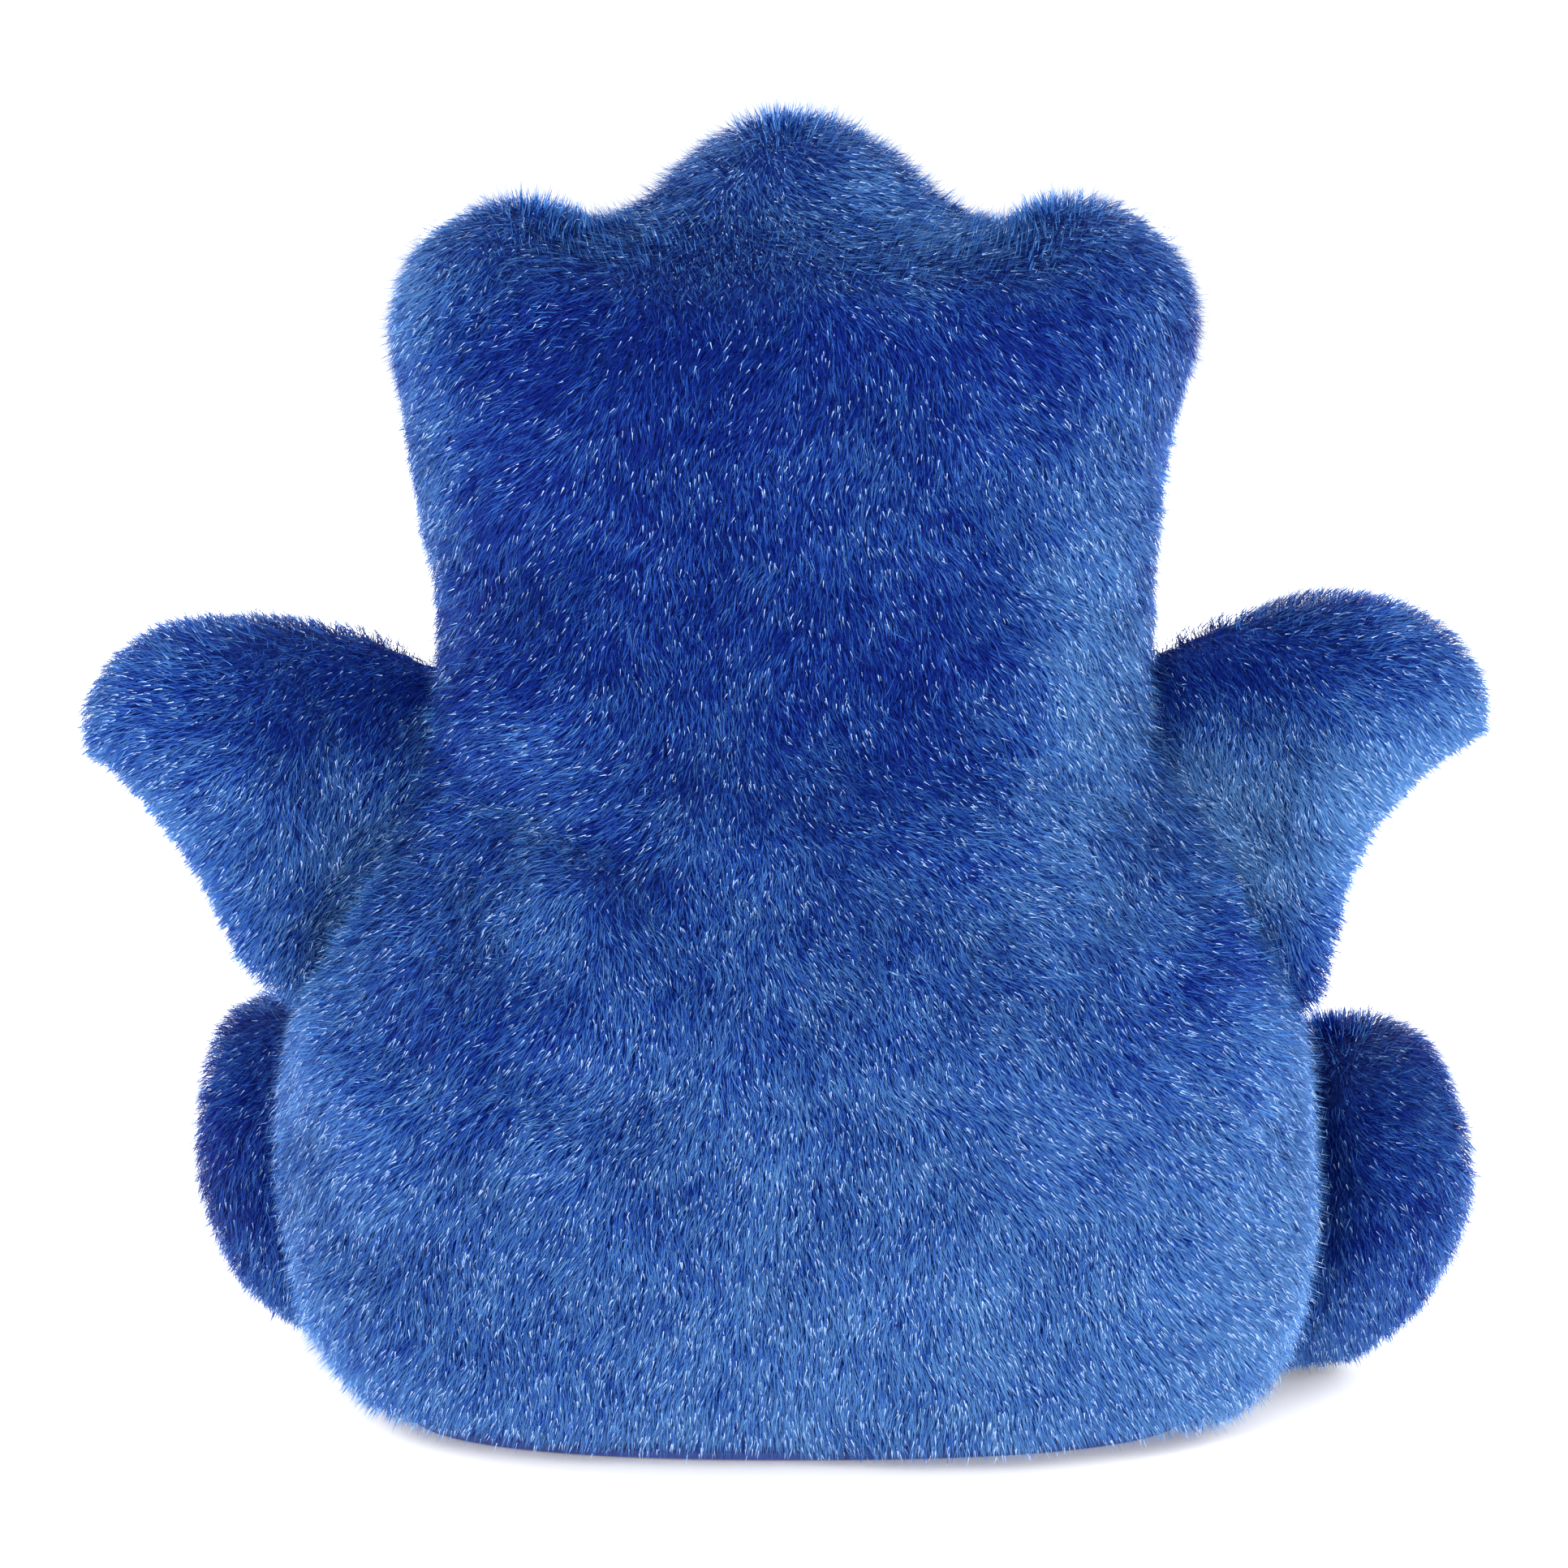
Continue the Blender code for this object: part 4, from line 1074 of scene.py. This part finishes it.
def make_jaw():
    rings = []
    for s in (4, 12, 20, 30, 42, 54, 64, 73, 80, 85, 88.0):
        under = [chin_point(s, a, SKIN_DEPTH) for a in spread(0, 180, 25)]
        across = spread(under[-1][0], under[0][0], 17)[1:-1]
        rings.append(under + [mouth_point(LOWER_TILT, s, x, -1.9) for x in across])

    def seams(points):
        forward = JAW_Y - points[:, 1]
        top = JAW_Z - forward * math.tan(math.radians(-LOWER_TILT)) - 5
        return (points[:, 2] > top) | (forward < 10)

    def bare(points, normals):
        hidden = (points[:, 1] > -8) & (np.abs(points[:, 0]) < 58)
        return in_mouth(points) & (normals[:, 2] > 0.3) | hidden

    # Painted shade: darker on the jaw's underside.
    def tone(points, normals):
        return 0.46 - 0.10 * np.clip(-normals[:, 2], 0, 1)

    look_of = (bare, combed((0.0, 0.45, -1.0), 0.3 / 50), tone, JAW_STRAND_LENGTH)
    make_limb("jaw", rings, 2.6, 2, 1.6, seams, look_of, ["chin_skin"])


def make_arm(side):
    sign = SIDES[side]
    angles = spread(0, 348.75, 32)
    rings = [[arm_point(side, s, a, SKIN_DEPTH) for a in angles] for s in ARM_STATIONS]

    def seams(points):
        return (np.abs(points[:, 1]) < 1.8) | (sign * points[:, 0] < 74)

    def shaped(points, normals):
        points = hollow(points, normals, (sign * 84, 20, 120), (7, 20, 20), 1.4)
        uneven = 0.5 * waves(points, 30, 31 + sign) + 0.25 * waves(points, 13, 33)
        return points + normals * uneven[:, None]

    def bare(points, normals):
        return sign * points[:, 0] < 62

    # Painted light: lighter on the arm's lower part and on its top; also a little lighter toward
    # the paw.
    def tone(points, normals):
        out = sign * points[:, 0] - 80
        lower = np.clip((ARM_LIGHT_FROM[side] + 0.2 * out - points[:, 2]) / 24, 0, 1)
        lower *= 1 - 0.7 * np.clip((ARM_FADE[side] - points[:, 2]) / 12, 0, 1)
        top = 0.30 * np.clip(normals[:, 2], 0, 1) ** 2
        hand = 0.004 * np.clip(out - 25, 0, 30)
        return 0.15 + ARM_PAINTED_LIGHT[side] * lower**0.8 + hand + top

    look_of = (bare, combed((sign, 0.0, -0.75)), tone, STRAND_LENGTH)
    nodes = [f"arm_{side}_{part}" for part in ("back", "front", "filling")]
    make_limb(f"arm_{side}", rings, 2.6, 1, 1.6, seams, look_of, nodes, shaped)


def make_leg(side):
    sign = SIDES[side]
    angles = spread(0, 348.75, 32)
    rings = [[leg_point(side, s, a, SKIN_DEPTH) for a in angles] for s in LEG_STATIONS]
    hip_x, hip_y, _ = body_point(HIP_ANGLE[side], HIP_HEIGHT, 0)

    def seams(points):
        root = np.hypot(points[:, 0] - hip_x, points[:, 1] - hip_y) < 9
        return root | (points[:, 2] < 2)

    def shaped(points, normals):
        points += normals * (0.5 * waves(points, 30, 51 + sign))[:, None]
        points[:, 2] = np.maximum(points[:, 2], 0.8)
        return points

    def bare(points, normals):
        return (points[:, 2] < 1.6) & (normals[:, 2] < -0.6)

    # Painted light: lighter on the foot's outer side, low down near the floor, and on top.
    def tone(points, normals):
        outer = np.clip((sign * points[:, 0] - 116) / 12, 0, 1)
        low = np.clip((38 - points[:, 2]) / 26, 0, 1)
        return 0.19 + 0.26 * outer + 0.30 * low + 0.12 * np.clip(normals[:, 2], 0, 1)

    look_of = (bare, combed((0.25 * sign, 0.0, -1.0)), tone, STRAND_LENGTH)
    nodes = [f"leg_{side}_{part}" for part in ("upper", "lower", "filling")] + [f"foot_{side}_sole"]
    make_limb(f"leg_{side}", rings, 2.8, 2, 1.5, seams, look_of, nodes, shaped)


# ---- The mouth and the eyes


def make_mouth_lining():
    """One piece of felt, folded at the hinge, on the faces of both mouth boards."""
    reach = MOUTH_LENGTH - 2.0
    ahead = [reach * math.sin(math.radians(a)) for a in spread(90, 3, 22)]
    rows = []
    for tilt, stations, sign in ((UPPER_TILT, ahead, 1), (LOWER_TILT, ahead[::-1], -1)):
        for s in stations:
            half = mouth_half_width(s, 1.0) + 1.0 + 7 * max(1 - s / 14, 0) ** 2
            lift = sign * (0.45 + 0.25 * math.sin(math.pi * s / reach))
            rows.append([mouth_point(tilt, s, half * x, lift) for x in spread(-1, 1, 33)])
    lining = grid_object("mouth_lining", rows, LOOKS["mouth"], 1.1)
    wear(lining, bends_with_jaw, "dark_mouth_felt", "upper_mouth_lining", "lower_mouth_lining")


def make_tongue():
    """A felt tongue, rounded at its tip, with a sewn middle line."""
    start, length, half_width = 22.0, 46.0, 17.0
    rows = []
    for t in spread(0, 1, 25):
        swell = 0.62 + 0.38 * math.sin(math.pi * min(t / 0.75, 1) * 0.5)
        tip = max(1 - max((t - 0.55) / 0.45, 0) ** 2.2, 0.0) ** 0.5
        half = half_width * swell * tip + 0.4
        row = []
        for x in spread(-1, 1, 15):
            domed = 0.9 * (1 - x * x) - 0.8 * math.exp(-((x / 0.12) ** 2))
            curl = 1.6 * t * t
            row.append(mouth_point(LOWER_TILT, start + length * t, half * x, 0.75 + domed + curl))
        rows.append(row)
    tongue = grid_object("tongue_felt_piece", rows, LOOKS["tongue"], 1.3)
    changed(tongue, "BEVEL", width=0.4 * MM, segments=2, limit_method="ANGLE")
    wear(tongue, rides("jaw"), "red_felt", "tongue")


def eye_frame(sign):
    """Where an eye sits on its mound, the way it faces, and two directions across it."""
    degrees = EYE_ANGLE if sign > 0 else 180 - EYE_ANGLE
    turn = turn_at(EYE_SHARE)
    place = Vector(head_point(degrees, turn, 0))
    place.x += float(lean([place])[0])
    along = Vector(head_point(degrees + 1.5, turn, 0)) - Vector(head_point(degrees - 1.5, turn, 0))
    over = Vector(head_point(degrees, turn + 0.04, 0)) - Vector(head_point(degrees, turn - 0.04, 0))
    facing = along.cross(over).normalized()
    if facing.y > 0:
        facing = -facing
    place -= facing * EYE_SINK
    across = facing.cross(Vector((0, 0, 1))).normalized()
    return place, facing, across, across.cross(facing).normalized()


def circle(centre, across, up, radius, count, start=0.0):
    turns = [2 * math.pi * (i + start) / count for i in range(count)]
    return [centre + (across * math.cos(t) + up * math.sin(t)) * radius for t in turns]


def turned(name, frame_of_eye, profile, look):
    """A surface turned round an eye's axis from a profile of (radius, height) pairs."""
    place, facing, across, up = frame_of_eye
    rings = [circle(place + facing * out, across, up, radius, 48) for radius, out in profile]
    return loft_object(name, [rings], look)


def tubes(name, paths, radius, look, sides=6):
    """Round threads along paths of points, all in one mesh."""
    rings_list = []
    for path in paths:
        path = [Vector(p) for p in path]
        rings = []
        for i, place in enumerate(path):
            ahead = (path[min(i + 1, len(path) - 1)] - path[max(i - 1, 0)]).normalized()
            aside = ahead.orthogonal().normalized()
            taper = 0.55 if i in (0, len(path) - 1) else 1.0
            rings.append(circle(place, aside, ahead.cross(aside), radius * taper, sides))
        rings_list.append(rings)
    return loft_object(name, rings_list, look)


def make_eye(side):
    frame_of_eye = eye_frame(SIDES[side])
    place, facing, across, up = frame_of_eye
    disc = [(3.0, -2.6), (8.6, -2.6), (10.2, 0.2), (10.8, 1.8), (11.0, 3.1)]
    disc += [(10.8, 3.6), (10.0, 3.95), (6.0, 4.25), (3.0, 4.3)]
    felt = turned(f"eye_{side}_white", frame_of_eye, disc, LOOKS["eye_white"])
    wear(felt, rides("head"), "white_felt", f"eye_{side}_felt")
    arc = [(9.0, 3.9), (9.4, 4.35), (10.4, 4.2), (11.1, 3.6), (11.4, 2.6)]
    rounds = [circle(place + facing * out, across, up, radius, 22, 0.5) for radius, out in arc]
    stitches = zip(*rounds, strict=True)
    sewn = tubes(f"eye_{side}_stitches", stitches, 0.2, LOOKS["white_thread"])
    wear(sewn, rides("head"), "white_felt")
    bead = [(0.4, -4.6), (2.2, -4.6), (2.3, 4.2), (6.0, 4.3), (6.45, 4.6)]
    for a in range(0, 90, 9):
        turn = math.radians(a)
        bead.append((6.5 * math.cos(turn), 4.95 + 3.9 * math.sin(turn)))
    bead.append((0.15, 8.85))
    eye = turned(f"eye_{side}_gloss", frame_of_eye, bead, LOOKS["eye_black"])
    wear(eye, rides("head"), "black_eye", f"eye_{side}_bead")


# ---- The sleeve and the hidden parts


def sine(degrees, phase=0.0):
    return math.sin(math.radians(degrees) + phase)


def make_hem():
    """The turned hem under the body, with its row of stitches."""
    profile = [(8.0, 0.9), (9.0, 0.25), (10.5, 0.1), (13.0, 0.1), (16.0, 0.5)]
    profile += [(17.2, 1.6), (16.4, 2.7), (13, 3.1), (10, 3.1), (8.4, 2.6)]
    count, size = 96, len(profile)
    points, faces = [], []
    for i in range(count):
        degrees = 360 * i / count
        ripple = 0.35 * sine(degrees * 13) + 0.25 * sine(degrees * 7)
        k = (i + 1) % count
        for j, (inset, z) in enumerate(profile):
            x, y, _ = body_point(degrees, 0, inset + ripple * (inset > 12))
            points.append((x, y, z))
            m = (j + 1) % size
            faces.append((i * size + j, k * size + j, k * size + m, i * size + m))
    hem = mesh_object("hem_cloth", points, faces, LOOKS["lining"])
    subdivide(hem)
    wear(hem, rides("body"), "blue_lining", "hem_band")
    stitches = []
    number = 110
    for i in range(number):
        a, b = 360 * i / number, 360 * (i + 0.62) / number
        stitch = []
        for share, lift in ((0, 0.35), (0.33, 0.05), (0.66, 0.05), (1, 0.35)):
            x, y, _ = body_point(a + (b - a) * share, 0, 14.3)
            stitch.append((x, y, lift + 0.02))
        stitches.append(stitch)
    sewn = tubes("hem_stitches", stitches, 0.18, LOOKS["thread"], 5)
    for vertex in sewn.data.vertices:
        vertex.co.z = max(vertex.co.z, 0.00002)
    wear(sewn, rides("body"), "blue_lining")


def make_sleeve():
    """The cloth sleeve that the hand fills, gathered a little between the hem and the head."""
    columns = 96
    rows = []
    for z in spread(2.2, 140, 34):
        flare = 3.2 * max(1 - (z - 2.2) / 12, 0) ** 2
        soft = math.sin(math.pi * (z - 2.2) / 138)
        row = []
        for i in range(columns):
            degrees = 360 * i / columns
            fold = soft * (0.9 * sine(degrees * 9, z / 21) + 0.5 * sine(degrees * 17, -z / 9))
            row.append(section_point(SLEEVE_SECTIONS, degrees, z, 0.9 + flare + fold * 0.6))
        rows.append(row)
    sleeve = grid_object("sleeve_cloth_tube", rows, LOOKS["lining"], 0.6, around=True)
    wear(sleeve, bends_with_head, "blue_lining", "sleeve_lining_back", "sleeve_lining_front")


# How far each of the CAD's cloths is wrinkled, in millimetres.
WRINKLES = {
    "finger_pocket": 0.35, "thumb_pocket": 0.35, "head_lining": 0.5, "mouth_hinge_tape": 0.1,
}


def soften(node, wrinkle):
    """A sewn cloth version of a CAD node: finer, slack between its edges, with small wrinkles."""
    mesh = frame["nodes"][node].data.copy()
    mesh.materials.clear()
    mesh.materials.append(LOOKS["lining"])
    made = link(node.replace("mouth_", "") + "_cloth", mesh)
    changed(made, "WELD", merge_threshold=0.00001)
    changed(made, "SUBSURF", subdivision_type="SIMPLE", levels=2, render_levels=2)

    def wrinkled(points, normals):
        return points + normals * (wrinkle * waves(points, 16, 71))[:, None]

    reshape(made, wrinkled)
    made.data.shade_smooth()
    wear(made, rides(frame["nodes"][node]["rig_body"]), "blue_lining", node)


def dress(node, look):
    """A rigid CAD node carried over, with its procedural material."""
    thing = frame["nodes"][node]
    thing.data.materials.clear()
    thing.data.materials.append(look)


# ---- The studio

# Lamps: where each stands, its size and its power. All look at the puppet's middle.
LAMPS = {
    "key": ((0.75, 1.5, 0.85), 1.1, 26),
    "fill": ((-1.1, 1.25, 0.5), 1.1, 20),
    "left_rim": ((1.1, -0.55, 0.55), 0.7, 16),
    "right_rim": ((-1.1, -0.55, 0.55), 0.7, 16),
    "face": ((0.1, -1.6, 0.8), 1.2, 22),
}
LAMP_AIM = (0, 0.015, 0.12)
FLOOR_HALF = 30.0


def make_studio():
    scene = bpy.context.scene
    scene.view_settings.view_transform = "Standard"
    scene.view_settings.look = "None"
    world = bpy.data.worlds.new("studio")
    scene.world = world
    world.use_nodes = True
    backdrop = world.node_tree.nodes["Background"]
    backdrop.inputs["Color"].default_value = (1, 1, 1, 1)
    backdrop.inputs["Strength"].default_value = 1.0
    mesh = bpy.data.meshes.new("floor")
    corners = [(x * FLOOR_HALF, y * FLOOR_HALF, 0) for x, y in ((-1, -1), (1, -1), (1, 1), (-1, 1))]
    mesh.from_pydata(corners, [], [(0, 1, 2, 3)])
    white = {"base_color": (0.93, 0.93, 0.93, 1), "specular_ior_level": 0.1}
    glow = {"emission_color": (1, 1, 1, 1), "emission_strength": 0.16}
    mesh.materials.append(new_material("floor_white", 0.9, **white, **glow)[0])
    link("floor", mesh)
    for name, (place, size, power) in LAMPS.items():
        lamp = bpy.data.lights.new(name, "AREA")
        lamp.shape = "DISK"
        lamp.size = size
        lamp.energy = power
        aimed(link(name, lamp), Vector(place), Vector(LAMP_AIM) - Vector(place))


def aimed(thing, place, direction):
    thing.location = place
    thing.rotation_mode = "QUATERNION"
    thing.rotation_quaternion = direction.to_track_quat("-Z", "Y")


def make_camera():
    """Behind the puppet and a little above it, as the photograph was taken."""
    aim = Vector((0.0029, 0.015, 0.1209))
    distance, elevation, frame_width = 1.4, math.radians(9), 0.2937
    back = Vector((0, math.cos(elevation), math.sin(elevation)))
    lens = bpy.data.cameras.new("camera")
    lens.sensor_width = 36
    lens.lens = 36 * distance / frame_width
    lens.clip_start, lens.clip_end = 0.05, 60
    camera = link("camera", lens)
    aimed(camera, aim + back * distance, -back)
    bpy.context.scene.camera = camera


def main():
    make_studio()
    make_camera()
    make_main_skin()
    make_jaw()
    make_mouth_lining()
    make_tongue()
    for side in SIDES:
        make_arm(side)
        make_leg(side)
        make_eye(side)
    make_hem()
    make_sleeve()
    for node, wrinkle in WRINKLES.items():
        soften(node, wrinkle)
    for node in ("upper_mouth_board", "lower_mouth_board"):
        dress(node, LOOKS["board"])
    for side in SIDES:
        dress(f"eye_{side}_washer", LOOKS["washer"])


main()
